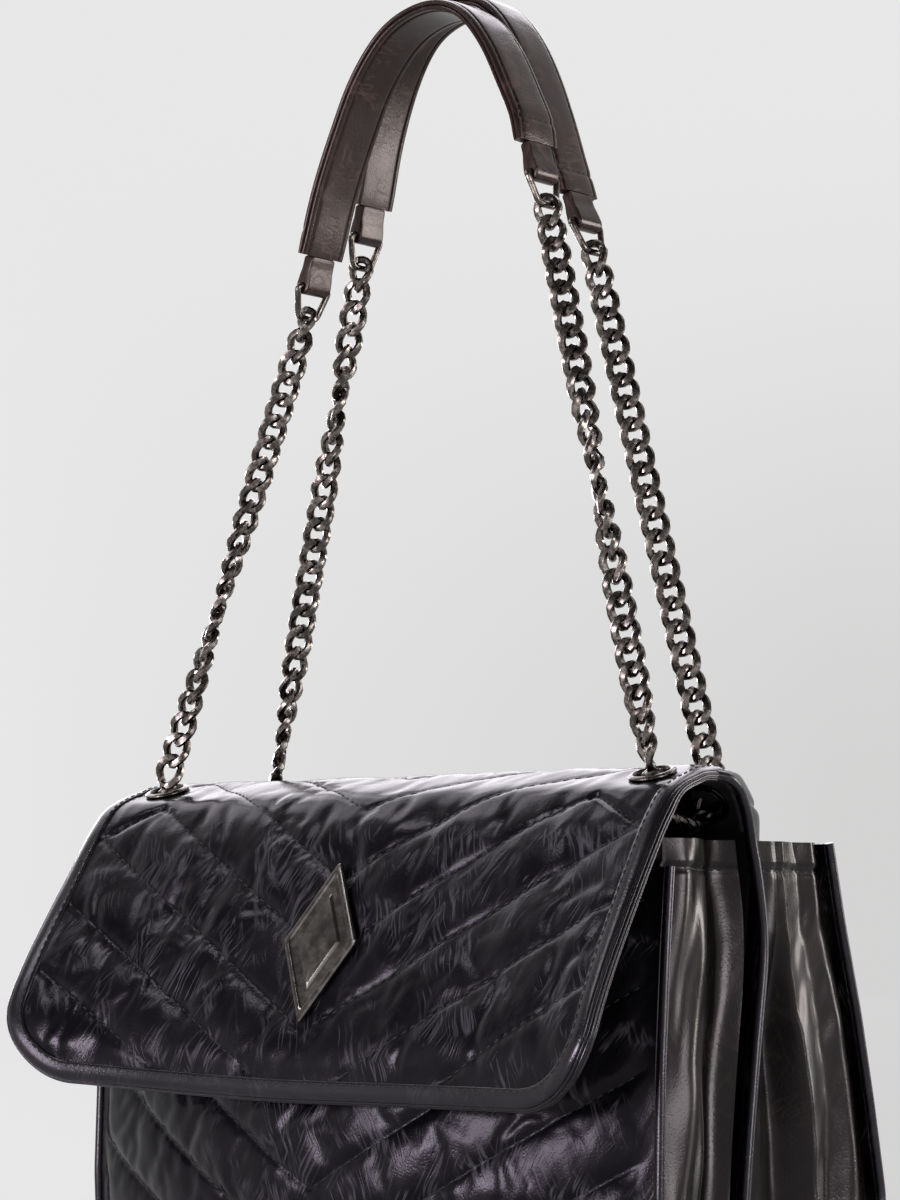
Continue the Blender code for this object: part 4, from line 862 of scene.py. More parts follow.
def hide_lines(low, high):
    """The seams of flap_quilt between two lengths: each arm is cut where it leaves the hide
    or comes near its edge, an eyelet or the plate."""
    paths = []
    outer_way = face_way(hide_outer)
    wide = np.linspace(0, CROWN_HALF, 400)
    for step in range(-5, 12):
        reach = wide if step <= -3 else QUILT_TURN - np.abs(wide - QUILT_TURN)
        length = QUILT_TOP + step * QUILT_STEP + QUILT_RISE * reach
        half = hide_surface(length, np.ones_like(wide))[:, 0]
        share = wide / half
        gap = np.minimum((1 - share) * half, length)
        plate = wide / 0.019 + np.abs(length - 0.053) / 0.033
        good = (gap > EDGE_BAND + 0.001) & (length > low) & (length < high) & (plate > 1)
        good = good & (seat_gap(wide, length) > 0.0105)
        edges = np.flatnonzero(np.diff(np.concatenate([[0], good.astype(int), [0]])))
        for start, end in zip(edges[::2], edges[1::2]):
            if end - start < 12:
                continue
            for side in (-1, 1):
                at = (hide_lengths, hide_shares, length[start:end], side * share[start:end])
                paths.append((read_grid(hide_outer, *at), read_grid(outer_way, *at)))
    return paths


over_flap_crease(stitched("flap_and_crown_stitching", hide_lines(0.007, CROWN_TOP),
                          "crinkled_leather", None))
over_rear_crease(stitched("crown_and_back_stitching", hide_lines(CROWN_TOP, HIDE_LENGTH - 0.006),
                          "crinkled_leather", None))

# Front wall: the stuffed front of the main compartment, quilted like the flap, with calf
# outside, thin wadding behind it and a suede lining, closed all round by the piped seam.
WALL_STEP, WALL_RISE = 0.030, 0.58
FRONT_WALL_SEAM, REAR_WALL_SEAM = 0.0559, 0.041
SEAM_HEM = 0.012


def front_surface(across, up):
    """The front wall's face: even across and up, its depth as front_y says."""
    x = HALF_BODY * across
    z = WALL_FOOT + (FRONT_TOP - WALL_FOOT) * up
    return np.stack([x, front_y(x, z), z], -1)


def wall_quilt(x, z, seam):
    """Distance to the nearest chevron seam of a wall, and the place along it."""
    slope = math.cos(math.atan(WALL_RISE))
    phase = (z - WALL_RISE * np.abs(x) - seam) / WALL_STEP
    return np.abs(phase - np.round(phase)) * WALL_STEP * slope, np.abs(x) / slope


def wall_rim(face, half, across, top):
    """How far a wall's places are from its sides, its foot and its top."""
    gap = np.minimum(half * (1 - np.abs(across)), face[..., 2] - WALL_FOOT)
    return np.minimum(gap, top - face[..., 2])


def sheet_grid(rows, cols):
    """Even places across, from left to right, and up, from foot to top."""
    return np.meshgrid(np.linspace(-1, 1, cols), np.linspace(0, 1, rows))


def wall_lines(grid, up, across, top, full, half, seam):
    """The seams of wall_quilt on a wall's grid, from near one edge to near the other."""
    paths = []
    way = face_way(grid)
    wide = np.linspace(0, half, 300)
    for step in range(-5, 6):
        z = seam + step * WALL_STEP + WALL_RISE * wide
        good = (z > WALL_FOOT + 0.004) & (z < top) & (wide < half - 0.0045)
        if good.sum() >= 12:
            for side in (-1, 1):
                at = (up, across, (z[good] - WALL_FOOT) / (full - WALL_FOOT),
                      side * wide[good] / half)
                paths.append((read_grid(grid, *at), read_grid(way, *at)))
    return paths


def wall_lining(word, surface, half, depth):
    """The suede behind a wall, short of its side seams."""
    across, up = sheet_grid(60, 60)
    face = surface(across * (1 - SEAM_HEM / half), up)
    lining = shell(f"{word}_lining_nap", face - face_way(face) * depth, NAP, suede)
    placed(lining, "lining_suede", "bag_body", f"{word}_lining")


across, up = sheet_grid(190, 250)
front_base = front_surface(across, up)
front_base[..., 1] = eased(eased(front_base[..., 1], 7).T, 7).T
wall_x, wall_z = front_base[..., 0], front_base[..., 2]
distance, seam_place = wall_quilt(wall_x, wall_z, FRONT_WALL_SEAM)
held = between_edges(wall_rim(front_base, HALF_BODY, across, FRONT_TOP) - 0.001, 0.010)
wall_calm = 0.9 * between_edges(-wall_x - 0.030, 0.035)
creases = hide_creases(wall_x, wall_z, math.radians(70), 47) * (1 - 0.6 * wall_calm)
height = held * (quilted(distance, seam_place, 0.0006) + creases * 0.7)
share_x, share_up = sheet_grid(80, 124)
loose = front_surface(share_x, share_up)
loose_seam, _ = wall_quilt(loose[..., 0], loose[..., 2], FRONT_WALL_SEAM)
fixed = (loose_seam < 0.0011) | (wall_rim(loose, HALF_BODY, share_x, FRONT_TOP) < 0.004)
start = hide_creases(loose[..., 0], loose[..., 2], math.radians(70), 47)
start = face_way(loose) * (0.6 * start * ~fixed)[..., None]
drape = swollen(loose + start, fixed, 0.028)
drape = finer(drape, share_up[:, 0], share_x[0], up[:, 0], across[0])
front_outer = front_base + face_way(front_base) * height[..., None] + 0.6 * drape * held[..., None]
front_leather = shell("front_wall_hide", front_outer, PADDED_SHEET, flap_hide, calm=wall_calm,
                      plain=front_base)
placed(front_leather, "crinkled_leather", "bag_body", "front_panel", "front_wadding")
lines = wall_lines(front_outer, up[:, 0], across[0], FRONT_TOP - 0.006, FRONT_TOP, HALF_BODY,
                   FRONT_WALL_SEAM)
stitched("front_wall_stitching", lines, "crinkled_leather", "bag_body")
wall_lining("front", front_surface, HALF_BODY, LEATHER + WADDING + 2 * FIT)

# Rear wall: the outer wall of the open rear compartment, quilted calf with a suede lining.
rear_edge_shares = (
    (0, 0.94), (0.12, 0.99), (0.27, 1.0), (0.46, 0.90), (0.64, 0.79), (0.84, 0.64), (1, 0.54)
)
REAR_HALF = 0.128


def rear_y(x, z):
    """Depth of the rear wall: its edge by height, and a bulge of the squared sine."""
    up = np.clip((z - WALL_FOOT) / (BODY_TOP - WALL_FOOT), 0, 1)
    swell = np.clip(1 - (x / REAR_HALF) ** 2, 0, 1) * np.sin(math.pi * up) ** 2
    return REAR_DEPTH * along_table(rear_edge_shares, up) + REAR_BULGE * swell


def rear_surface(across, up):
    """The rear wall's face, its columns from the left of a viewer behind it."""
    x = -REAR_HALF * across
    z = WALL_FOOT + (BODY_TOP - WALL_FOOT) * up
    return np.stack([x, rear_y(x, z), z], -1)


across, up = sheet_grid(180, 220)
rear_base = rear_surface(across, up)
rear_base[..., 1] = eased(rear_base[..., 1], 9)
wall_x, wall_z = rear_base[..., 0], rear_base[..., 2]
distance, seam_place = wall_quilt(wall_x, wall_z, REAR_WALL_SEAM)
held = between_edges(wall_rim(rear_base, REAR_HALF, across, BODY_TOP - 0.009) - 0.001, 0.010)
creases = hide_creases(wall_x, wall_z, math.radians(110), 83)
hem_step = 0.0004 * between_edges(wall_z - BODY_TOP + 0.0100, 0.0012)
height = held * (quilted(distance, seam_place, 0.0012) + creases * 0.8) + hem_step
rear_outer = rear_base + face_way(rear_base) * height[..., None]
rear_leather = shell("rear_wall_hide", rear_outer, LEATHER, flap_hide, plain=rear_base)
placed(rear_leather, "crinkled_leather", "bag_body", "rear_panel")
lines = wall_lines(rear_outer, up[:, 0], across[0], BODY_TOP - 0.0105, BODY_TOP, REAR_HALF,
                   REAR_WALL_SEAM)
hem_row = np.full(200, (BODY_TOP - 0.0106 - WALL_FOOT) / (BODY_TOP - WALL_FOOT))
lines.append([read_grid(grid, up[:, 0], across[0], hem_row, np.linspace(-0.96, 0.96, 200))
              for grid in (rear_outer, face_way(rear_outer))])
stitched("rear_wall_stitching", lines, "crinkled_leather", "bag_body")
wall_lining("rear", rear_surface, REAR_HALF, LEATHER + FIT)

# Linings of the flap, crown and back wall: suede that follows the hide on its inner side,
# with a slip pocket sewn to the back wall inside the main compartment.
FLAP_WALL = LEATHER + WADDING + NAP + 3 * FIT


def lining_of(name, first, last, depth, margin, body, node, more=(), cols=90, rows=90):
    """A sheet behind the hide, between two lengths up from the hem, short of the side edges."""
    share, lengths_up = np.meshgrid(np.linspace(-1, 1, cols), np.linspace(first, last, rows))
    face = hide_surface(lengths_up, share * (1 - margin / CROWN_HALF))
    lining = shell(name, face - face_way(face) * depth, NAP, suede)
    return placed(lining, "lining_suede", body, node, *more)


# The wadding stops at the front crease, so the lining rises to the hide across the crown.
crown_share = between_edges(np.linspace(0.0016, CROWN_TOP, 90) - FLAP_LENGTH + 0.002, 0.016)
nap_depth = LEATHER + FIT + (WADDING + FIT) * (1 - crown_share)
over_flap_crease(lining_of("flap_and_crown_nap", 0.0016, CROWN_TOP, nap_depth[:, None, None],
                           0.0015, None, "flap_lining", ["crown_lining"]))
over_rear_crease(lining_of("crown_rear_nap", CROWN_TOP, REAR_CREASE + 0.0008, LEATHER + FIT,
                           0.0015, None, "crown_lining"))
lining_of("back_wall_nap", REAR_CREASE + 0.001, HIDE_LENGTH, LEATHER + FIT, SEAM_HEM, "bag_body",
          "back_lining")
pocket_lengths = [REAR_CREASE + share * REAR_CREASE_Z for share in (0.24, 0.53)]
lining_of("slip_pocket_nap", *pocket_lengths, LEATHER + 2 * FIT + NAP, 0.027, "bag_body",
          "slip_pocket", cols=60, rows=40)

# Gussets: the sides of the main compartment, each with two outward pleats, and of the rear
# one, each with a pinched fold and a full pleat: smooth hide, turned over and sewn on top.
GUSSET, GUSSET_FOOT, GUSSET_HEM, GUSSET_GRID = 0.0013, 0.0028, 0.0095, 150
GUSSET_CREST, GUSSET_VALLEY, GUSSET_SEAM = 0.1285, 0.116, 0.0022
HEM_STITCHES = BODY_TOP - GUSSET_HEM - 0.0008
main_pleat_shares = (
    (0, 0.95), (0.035, 0.60), (0.075, 0.36), (0.15, 0.62), (0.24, 0.90), (0.34, 1.0), (0.44, 0.94),
    (0.60, 0.63), (0.74, 0.28), (0.84, 0.19), (0.92, 0.32), (1, 0.72),
)
pinch_shares = ((0, 1.0), (0.28, 1.0), (0.44, 0.93), (0.62, 0.68), (0.82, 0.24), (1, 0))
valley_shares = ((0, 1.0), (0.62, 1.0), (0.82, 0.30), (1, 0.10))
along, up = np.meshgrid(np.linspace(0, 1, GUSSET_GRID), np.linspace(0, 1, GUSSET_GRID))
gusset_z = GUSSET_FOOT + (BODY_TOP - GUSSET_FOOT) * up


def back_edge_y(z):
    """Depth of the back wall's rear face at its side edges, by height."""
    depth = 0
    for shift in (-0.09, -0.045, 0, 0.045, 0.09):
        share = np.clip(z / REAR_CREASE_Z + shift, 0, 1)
        depth = depth + (REAR_CREASE_Y * along_table(back_lean_shares, share)
                         - BACK_TUCK * along_table(back_tuck_shares, share) * 0.88) / 5
    return depth


def soft_rows(values, window):
    """A grid eased twice along its columns' way, each row by itself."""
    return eased(eased(values.T, window), window).T


def dented(x, y, side, press, long, stretch, lean, short, seed):
    """The gusset with long leaning dents and short ones, which fade at its seams and its top."""
    dents = waves(y * press, gusset_z, long, stretch, math.radians(lean), seed + side) * 0.0008
    dents += waves(y, gusset_z, short, 3.0, math.radians(66), seed + 10 + side) * 0.00012
    held = np.sin(math.pi * along) ** 0.5 * between_edges(1.0 - up, 0.08)
    return np.stack([(x + dents * held - 0.0004) * side, y, gusset_z], -1)


def main_gusset_face(side):
    """Across from the front seam to the back seam the pleat table gives how far the hide
    stands out; slow waves along the height move the folds and lean them."""
    sway = 0.026 * np.sin(up * 6.0 + along * 2.0 + side) * np.sin(math.pi * along)
    out = along_table(main_pleat_shares, np.clip(along + sway * (1 - up**3), 0, 1))
    x = GUSSET_VALLEY + (GUSSET_CREST - GUSSET_VALLEY) * soft_rows(out, 6)
    start = front_y(np.full_like(up, HALF_BODY), np.minimum(gusset_z, FRONT_TOP))
    start = start + LEATHER + GUSSET_SEAM
    end = back_edge_y(gusset_z) - LEATHER - GUSSET_SEAM
    y = start + (end - start) * along
    return dented(x, y, side, 1.6, 0.030, 2.6, 82, 0.012, 301)


def rear_gusset_face(side):
    """Across from the back seam: a valley, a pinched fold, and one full pleat out to the rear
    seam; the fold's place and the valley's depth follow the height."""
    share = gusset_z / BODY_TOP
    start = back_edge_y(gusset_z) + GUSSET_SEAM + 0.0010
    pinch = 0.0075 + (0.0266 - 0.0075) * along_table(pinch_shares, share)
    end = rear_y(np.full_like(up, REAR_HALF), gusset_z) - LEATHER - GUSSET_SEAM
    valley = HALF_BODY - 0.013 * along_table(valley_shares, share)
    widths = [np.full_like(up, GUSSET_CREST - GUSSET_SEAM), valley, valley]
    widths += [np.full_like(up, width) for width in (
        HALF_BODY, HALF_BODY - 0.0018, HALF_BODY - 0.0048, HALF_BODY - 0.0008,
        REAR_HALF - GUSSET_SEAM,
    )]
    depths = [start + (pinch - start) * part for part in (0, 0.62, 0.80)]
    depths += [pinch + (end - pinch) * part for part in (0, 0.15, 0.45, 0.75)] + [end]
    table = np.stack([widths, depths])
    spot = np.clip(along * 7, 0, 6.9999)
    low = spot.astype(int)
    part = spot - low
    row_of, col_of = np.indices(along.shape)
    x, y = (table[:, low, row_of, col_of] * (1 - part)
            + table[:, low + 1, row_of, col_of] * part)
    return dented(soft_rows(x, 5), soft_rows(y, 5), side, 1.3, 0.024, 6.0, 86, 0.011, 401)


def hemmed(face, side):
    """The gusset's face with its top turned over: the strip above the hem stitching stands a
    hide's thickness further out, and a dent runs along the stitches."""
    z = face[..., 2]
    strip = between_edges(z - (BODY_TOP - GUSSET_HEM), 0.0014)
    dent = np.exp(-((z - HEM_STITCHES) / 0.0011) ** 2)
    way = face_way(face)
    way = way * np.sign(way[..., :1] * side + 1e-9)
    return face + way * (0.0005 * strip - 0.0007 * dent)[..., None]


for side, word in ((-1, "left"), (1, "right")):
    for kind, maker in (("main", main_gusset_face), ("rear", rear_gusset_face)):
        face = hemmed(maker(side), side)[:, ::side]
        gusset = shell(f"{kind}_gusset_hide_{word}", face, GUSSET, gusset_hide)
        placed(gusset, "smooth_leather", "bag_body", f"{kind}_gusset_{word}")
        hem_row = np.argmin(np.abs(face[:, 0, 2] - HEM_STITCHES))
        stitched(f"{kind}_gusset_stitching_{word}",
                 [(face[hem_row, 6:-6], face_way(face)[hem_row, 6:-6])],
                 "smooth_leather", "bag_body", 0.0026, 0.0008)

# Piping and edges: a folded strip of smooth hide in each seam. The edge from the base up
# the back wall and over the rear of the crown is one length at each side; the flap's rolled
# edge runs from the crown's top down one side, along the hem and up the other.
PIPING_RADIUS, PIPING_STEP = 0.0018, 0.0016


def even_path(points, step, window=0, closed=False):
    """Points at even steps along a path of straight runs, eased over a window of steps."""
    points = np.asarray(points, float)
    if closed:
        points = np.concatenate([points, points[:1]])
    size = run_lengths(points)
    count = max(int(round(size[-1] / step)), 4)
    path = read_rows(np.linspace(0, size[-1], count + 1), size, points)
    if closed:
        path = path[:-1]
        if window:
            path = averaged(np.concatenate([path[-window:], path, path[:window]]), window)
        return path
    return eased(path, window) if window else path


def capped(points):
    """Rings of points closed at both ends by a point in the middle of the last ring."""
    ends = [np.repeat(points[row].mean(0)[None], points.shape[1], 0)[None] for row in (0, -1)]
    return np.concatenate([ends[0], points, ends[1]])


def swept(name, path, way, profile, material, closed=False):
    """A profile carried along a path. Each point is the path's, plus the profile's first
    number times the way across and its second times the run crossed with that way. An open
    run is closed at each end by a point in its middle."""
    run = np.roll(path, -1, 0) - np.roll(path, 1, 0) if closed else np.gradient(path, axis=0)
    over = square_to(unit(run), np.broadcast_to(np.asarray(way, float), path.shape))
    up = np.cross(unit(run), over)
    points = path[:, None] + over[:, None] * profile[:, :1] + up[:, None] * profile[:, 1:]
    points = points if closed else capped(points)
    faces = grid_faces(*points.shape[:2], wrap_rows=closed, wrap_cols=True)
    return mesh_piece(name, points, faces, material, weld=not closed)


def piping_profile(radius):
    """A round bead with two shallow grooves where it meets the panels: the distance from the
    middle dips as a bell at two turns."""
    turns = round_turns(28)
    for groove in (2.2, 4.1):
        radius = radius * (1 - 0.10 * np.exp(-((turns - groove) / 0.22) ** 2))
    return np.stack([radius * np.cos(turns), radius * np.sin(turns)], 1)


bead = piping_profile(PIPING_RADIUS)


def wall_edge(face_of, half, sign):
    """The path of a wall's piping: down its left seam, round the foot and up its right."""
    sides = [face_of(np.full(60, share), np.linspace(1, 0, 60)) for share in (-1.0, 1.0)]
    for edge in sides:
        edge[:, 1] += sign * LEATHER / 2
        edge[:, 0] = np.sign(edge[:, 0]) * (half + PIPING_RADIUS + FIT)
    feet = [(edge[-1, 0] * 0.995, edge[-1, 1], PIPING_RADIUS + FIT) for edge in sides]
    return np.concatenate([sides[0], feet, sides[1][::-1]])


for word, surface, half, sign in (
    ("front", front_surface, HALF_BODY, 1), ("rear", rear_surface, REAR_HALF, -1),
):
    path = even_path(wall_edge(surface, half, sign), PIPING_STEP, 2)
    piece = swept(f"{word}_seam_piping", path, (0, -sign, 0), bead, edge_hide)
    placed(piece, "smooth_leather", "bag_body", f"{word}_piping")

# The bead bears on the hide's cut edge; its upper end dives under the flap's binding.
BEAD_REST, BEAD_SINK = PIPING_RADIUS - 0.0004, 0.0008
back_lengths = np.arange(CROWN_TOP - 0.007, HIDE_LENGTH - 0.001, PIPING_STEP)
beside = BEAD_REST - 0.0030 * between_edges(CROWN_TOP + 0.002 - back_lengths, 0.008)
for side, word in ((-1, "left"), (1, "right")):
    share = np.full(len(back_lengths), float(side))
    edge = hide_surface(back_lengths, share)
    away = square_to(unit(np.gradient(edge, axis=0)),
                     unit(edge - hide_surface(back_lengths, share * 0.97)))
    facing = np.cross(unit(np.gradient(edge, axis=0)), away) * -side
    path = edge + away * BEAD_REST - facing * BEAD_SINK
    path[:, 0] = side * (np.abs(edge[:, 0]) + beside)
    piece = swept(f"back_edge_roll_{word}", eased(path, 5), (side, 0, 0), bead, edge_hide)
    placed(piece, "smooth_leather", None, f"back_piping_{word}", f"crown_piping_{word}")
    over_rear_crease(piece)

# The binding's rim: down the left side from past the crown's top, along the hem, and up.
BINDING_TOP, HEM_POINTS = CROWN_TOP + 0.016, 118
side_lengths = np.arange(HEM_CORNER, BINDING_TOP + 0.0001, PIPING_STEP)
side_lengths[-1] = BINDING_TOP
corner_lengths = HEM_CORNER * (1 - np.cos(np.linspace(0, math.pi / 2, 26)))
up_lengths = np.concatenate([corner_lengths, side_lengths[1:]])
hem_shares_across = np.linspace(-1, 1, HEM_POINTS + 2)[1:-1]
ones = np.ones(len(up_lengths))
rim_lengths = np.concatenate([up_lengths[::-1], np.zeros(HEM_POINTS), up_lengths])
rim = hide_surface(rim_lengths, np.concatenate([-ones, hem_shares_across, ones]))
inner = hide_surface(np.maximum(rim_lengths, 0.004),
                     np.concatenate([-0.96 * ones, hem_shares_across, 0.96 * ones]))
run = unit(np.gradient(rim, axis=0))
rim_in = unit(eased(square_to(run, unit(inner - rim)), 6))
rim_out = np.cross(run, rim_in)
outside = np.where(rim[:, 1:2] > -0.065, np.array([[0, 0.3, 1.0]]), np.array([[0, -0.6, 0.4]]))
rim_out = rim_out * np.sign((rim_out * outside).sum(-1, keepdims=True))


def band_profile(width, wall, crown):
    """The bound edge's section, from its inner edge on the face, round the layered rim, to
    its inner edge on the lining: first number in from the rim, second out from the middle
    of the wall. The rim's radius dips at even turns, where the layers meet."""
    half = wall / 2
    face = [(width, half - 0.0004), (width, half + crown * 0.35),
            (width - 0.0004, half + crown * 0.8)]
    face += [(width * place, half + crown * rise) for place, rise in (
        (0.80, 0.9), (0.60, 1.0), (0.40, 1.0), (0.24, 0.85), (0.12, 0.60),
    )]
    turns = np.linspace(math.radians(62), math.radians(-62), 41)
    radius = (half + crown * 0.55) * (
        1 - 0.15 * np.exp(-(((turns + 0.82) % 0.5 - 0.25) / 0.085) ** 2)
    )
    rim_arc = np.stack([crown - radius * np.cos(turns), radius * np.sin(turns)], 1)
    back = [(0.0012, -half - crown * 0.55), (width * 0.5, -half - crown * 0.5),
            (width * 0.8, -half - crown * 0.45), (width * 0.82, -half + 0.0003)]
    return np.concatenate([face, rim_arc, back])


BAND_CROWN, CROWN_WALL = 0.0009, LEATHER + NAP + FIT
crowned = between_edges(rim[:, 1] + 0.0703, 0.012) * (rim[:, 2] > 0.180)
mix = crowned[:, None, None]
band = (band_profile(EDGE_BAND, FLAP_WALL, BAND_CROWN)[None] * (1 - mix)
        + band_profile(EDGE_BAND, CROWN_WALL, BAND_CROWN)[None] * mix)
wall_here = FLAP_WALL * (1 - crowned) + CROWN_WALL * crowned
roll_centre = (rim - rim_out * wall_here[:, None] / 2)[:, None]
points = roll_centre + rim_in[:, None] * band[..., :1] + rim_out[:, None] * band[..., 1:]
# Past the crown's top the binding narrows onto the bead of the back wall's edge.
over_top = between_edges(rim_lengths - CROWN_TOP + 0.003, 0.017)[:, None, None]
bead_centre = rim - rim_in * BEAD_REST - rim_out * BEAD_SINK
narrow = bead_centre[:, None] + (points - roll_centre) * 0.30
points = points + (narrow - points) * over_top
stitch_line = points[:, 3]
points = capped(points)
roll = mesh_piece("flap_edge_binding", points, grid_faces(*points.shape[:2], wrap_cols=True),
                  edge_hide, 60, weld=True)
placed(roll, "smooth_leather", None, "flap_piping", "crown_piping_left", "crown_piping_right")
over_flap_crease(roll)
over_flap_crease(stitched("edge_binding_stitching", [(stitch_line, rim_out)],
                          "smooth_leather", None, 0.0026, 0.0008))

# Base: a leather-covered panel with rounded corners; the stiff board inside stays bare.
# Its outline is the sign of the cosine and sine of a turn times half the size less the
# corner, plus the corner's circle; each level is that outline, drawn in by a share.
BASE_TURNS, BASE_CORNER = 96, 0.006
base_levels = (
    (0.0, 0.0), (0.985, 0.0), (1.0, 0.0006), (1.0, 0.0016), (0.985, 0.0022), (0.0, 0.0022)
)
base_low, base_high = (np.array(corner)[:2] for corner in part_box("base_panel"))
ring = np.stack([np.cos(round_turns(BASE_TURNS)), np.sin(round_turns(BASE_TURNS))], 1)
square = np.sign(ring) * ((base_high - base_low) / 2 - BASE_CORNER) + BASE_CORNER * ring
middle = (base_low + base_high) / 2
points = np.stack([
    np.concatenate([middle + square * share, np.full((BASE_TURNS, 1), level)], 1)
    for share, level in base_levels
])
base = mesh_piece("base_hide", points, grid_faces(*points.shape[:2], wrap_cols=True), edge_hide,
                  30, weld=True)
placed(base, "smooth_leather", "bag_body", "base_panel")


def repainted(node, material):
    """A solid that keeps its shape takes a new material."""
    nodes[node].data.materials.clear()
    nodes[node].data.materials.append(material)


board_paint, tree, shader, place = shader_of("pressed_board", Roughness=0.85)
pulp = noise_at(tree, place, 900.0, 3.0)
colour = mixed_colour(tree, pulp, (0.10, 0.075, 0.055, 1), (0.17, 0.135, 0.10, 1))
feed(shader.inputs["Base Color"], colour)
repainted("base_board", board_paint)

# Metal: brass with a dark gunmetal plating, worn warm grey in rubbed patches.
PLATING_DEPTH = 0.00008


def plating_group():
    """Worn plating: broad and fine noise give rubbed patches, and a third one a haze."""
    group, place, given, put = new_group("plating", (("Scale", 1.0),), ("Rub", "Height", "Haze"))
    sized = vector_node(group, "SCALE", place, Scale=given["Scale"])
    fine = noise_at(group, sized, 900.0, 3.0)
    rub = math_node(group, "MULTIPLY", noise_at(group, sized, 170.0, 3.0), 0.6)
    rub = math_node(group, "MULTIPLY_ADD", fine, 0.45, rub)
    feed(put["Rub"], ranged(group, rub, 0.44, 0.66))
    feed(put["Height"], fine)
    feed(put["Haze"], noise_at(group, sized, 420.0, 2.0))
    return group


plating = plating_group()


def metal_finish(name, dark, rubbed, gloss, dull, scale):
    """Plated metal: dark in the sheltered patches, paler where it is rubbed."""
    material, tree, shader, place = shader_of(name, Metallic=1.0)
    wear = add_node(tree, "ShaderNodeGroup", node_tree=plating, Place=place, Scale=scale).outputs
    feed(shader.inputs["Base Color"],
         mixed_colour(tree, wear["Rub"], (*dark, 1), (*rubbed, 1)))
    feed(shader.inputs["Roughness"], ranged(tree, wear["Haze"], 0.35, 0.65, gloss, dull))
    feed(shader.inputs["Normal"], bumped(tree, wear["Height"], 0.25, PLATING_DEPTH))
    return material


gunmetal = metal_finish(
    "aged_gunmetal_plate", (0.064, 0.056, 0.052), (0.22, 0.19, 0.172), 0.20, 0.34, 1.0
)
plate_metal = metal_finish(
    "brushed_gunmetal_plate", (0.110, 0.101, 0.095), (0.175, 0.158, 0.147), 0.22, 0.30, 0.5
)


def turned_piece(name, profile, place, facing, material, body, node):
    """A shape turned on a lathe: each profile point (radius, height) goes round the facing
    way at the place; the profile runs closed, or from the axis back to the axis."""
    profile = np.asarray(profile, float)
    closed = profile[0, 0] > 1e-9
    turns = round_turns(56)
    first = unit(np.cross([0.0, 1.0, 0.3], facing))
    ring = np.cos(turns)[:, None] * first + np.sin(turns)[:, None] * np.cross(facing, first)
    points = place + profile[:, None, :1] * ring[None] + profile[:, None, 1:] * facing
    faces = grid_faces(len(profile), 56, wrap_rows=closed, wrap_cols=True)
    piece = mesh_piece(name, points, faces[:, ::-1], material, 32, weld=not closed)
    placed(piece, "aged_gunmetal", body, node)


def softened(points, radius, steps=4, closed=True):
    """A profile with each corner turned into a short arc of straight pieces."""
    points = np.asarray(points, float)
    soft = []
    for index, here in enumerate(points):
        if not closed and index in (0, len(points) - 1):
            soft.append(here[None])
            continue
        back, on = points[index - 1] - here, points[(index + 1) % len(points)] - here
        reach = min(radius, 0.45 * np.linalg.norm(back), 0.45 * np.linalg.norm(on))
        start = here + unit(back) * reach
        end = here + unit(on) * reach
        t = np.linspace(0, 1, steps + 1)[:, None]
        soft.append((1 - t) ** 2 * start + 2 * t * (1 - t) * here + t**2 * end)
    return np.concatenate(soft)


def washer_profile(inner, outer, depth):
    """A flat ring that lies at a depth below the face, its corners a little rounded."""
    return softened([(inner, -depth), (outer, -depth), (outer, -depth - WASHER),
                     (inner, -depth - WASHER)], 0.0003, 3)


# Eyelets: a turned flange with a rolled lip and a barrel through the crown, spread over a
# washer inside. The strap chains drop into the front and rear pairs.
EYELET_BORE, EYELET_BARREL, EYELET_FLANGE = 0.0063, 0.0071, 0.0087
FLANGE, WASHER, WASHER_RIM, BARREL_LIP = 0.0012, 0.0009, 0.0088, 0.0004
crown_wall = LEATHER + NAP + 2 * FIT
barrel_end = -crown_wall - WASHER - BARREL_LIP
flange_profile = softened([
    (EYELET_FLANGE - 0.0001, FIT), (EYELET_FLANGE, FIT + FLANGE * 0.55),
    (EYELET_FLANGE - 0.0009, FIT + FLANGE * 1.05), (EYELET_BORE + 0.0006, FIT + FLANGE * 1.15),
    (EYELET_BORE, FIT + FLANGE * 0.3), (EYELET_BORE, barrel_end),
    (EYELET_BARREL, barrel_end), (EYELET_BARREL, FIT),
], 0.0005, 4)
eyelet_washer = washer_profile(EYELET_BARREL + FIT, WASHER_RIM, crown_wall)
for word, (place, facing) in seats.items():
    turned_piece(f"eyelet_ring_{word}", flange_profile, place, facing, gunmetal, "crown",
                 f"eyelet_{word}")
    turned_piece(f"eyelet_backing_{word}", eyelet_washer, place, facing, gunmetal, "crown",
                 f"eyelet_washer_{word}")

# Chains: twisted curb links of plated wire, their outsides filed flat. Each link passes
# through the next, turned a right angle to it where they bear on each other.
LINK_PITCH, LINK_WIDTH, WIRE = 0.0087, 0.0112, 0.00158
LINK_TWIST = math.radians(47)
LINK_FACE = 0.00235
HINGE_HEIGHT, STRAND_TAIL, LINK_OVERHANG = 0.0035, 0.0015, 0.00246
strand_turn_shares = {
    "front_left": ((0, 220), (0.38, 130), (0.70, 50), (0.88, 40), (1, -40)),
    "front_right": ((0, 140), (0.15, 200), (0.30, 200), (0.47, 130), (0.70, 45), (0.88, 40),
                    (1, 10)),
    "rear_left": ((0, 320), (0.12, 310), (0.30, 235), (0.55, 215), (0.76, 130), (0.9, 30),
                  (1, -10)),
    "rear_right": ((0, 40), (0.88, 40), (1, -10)),
}


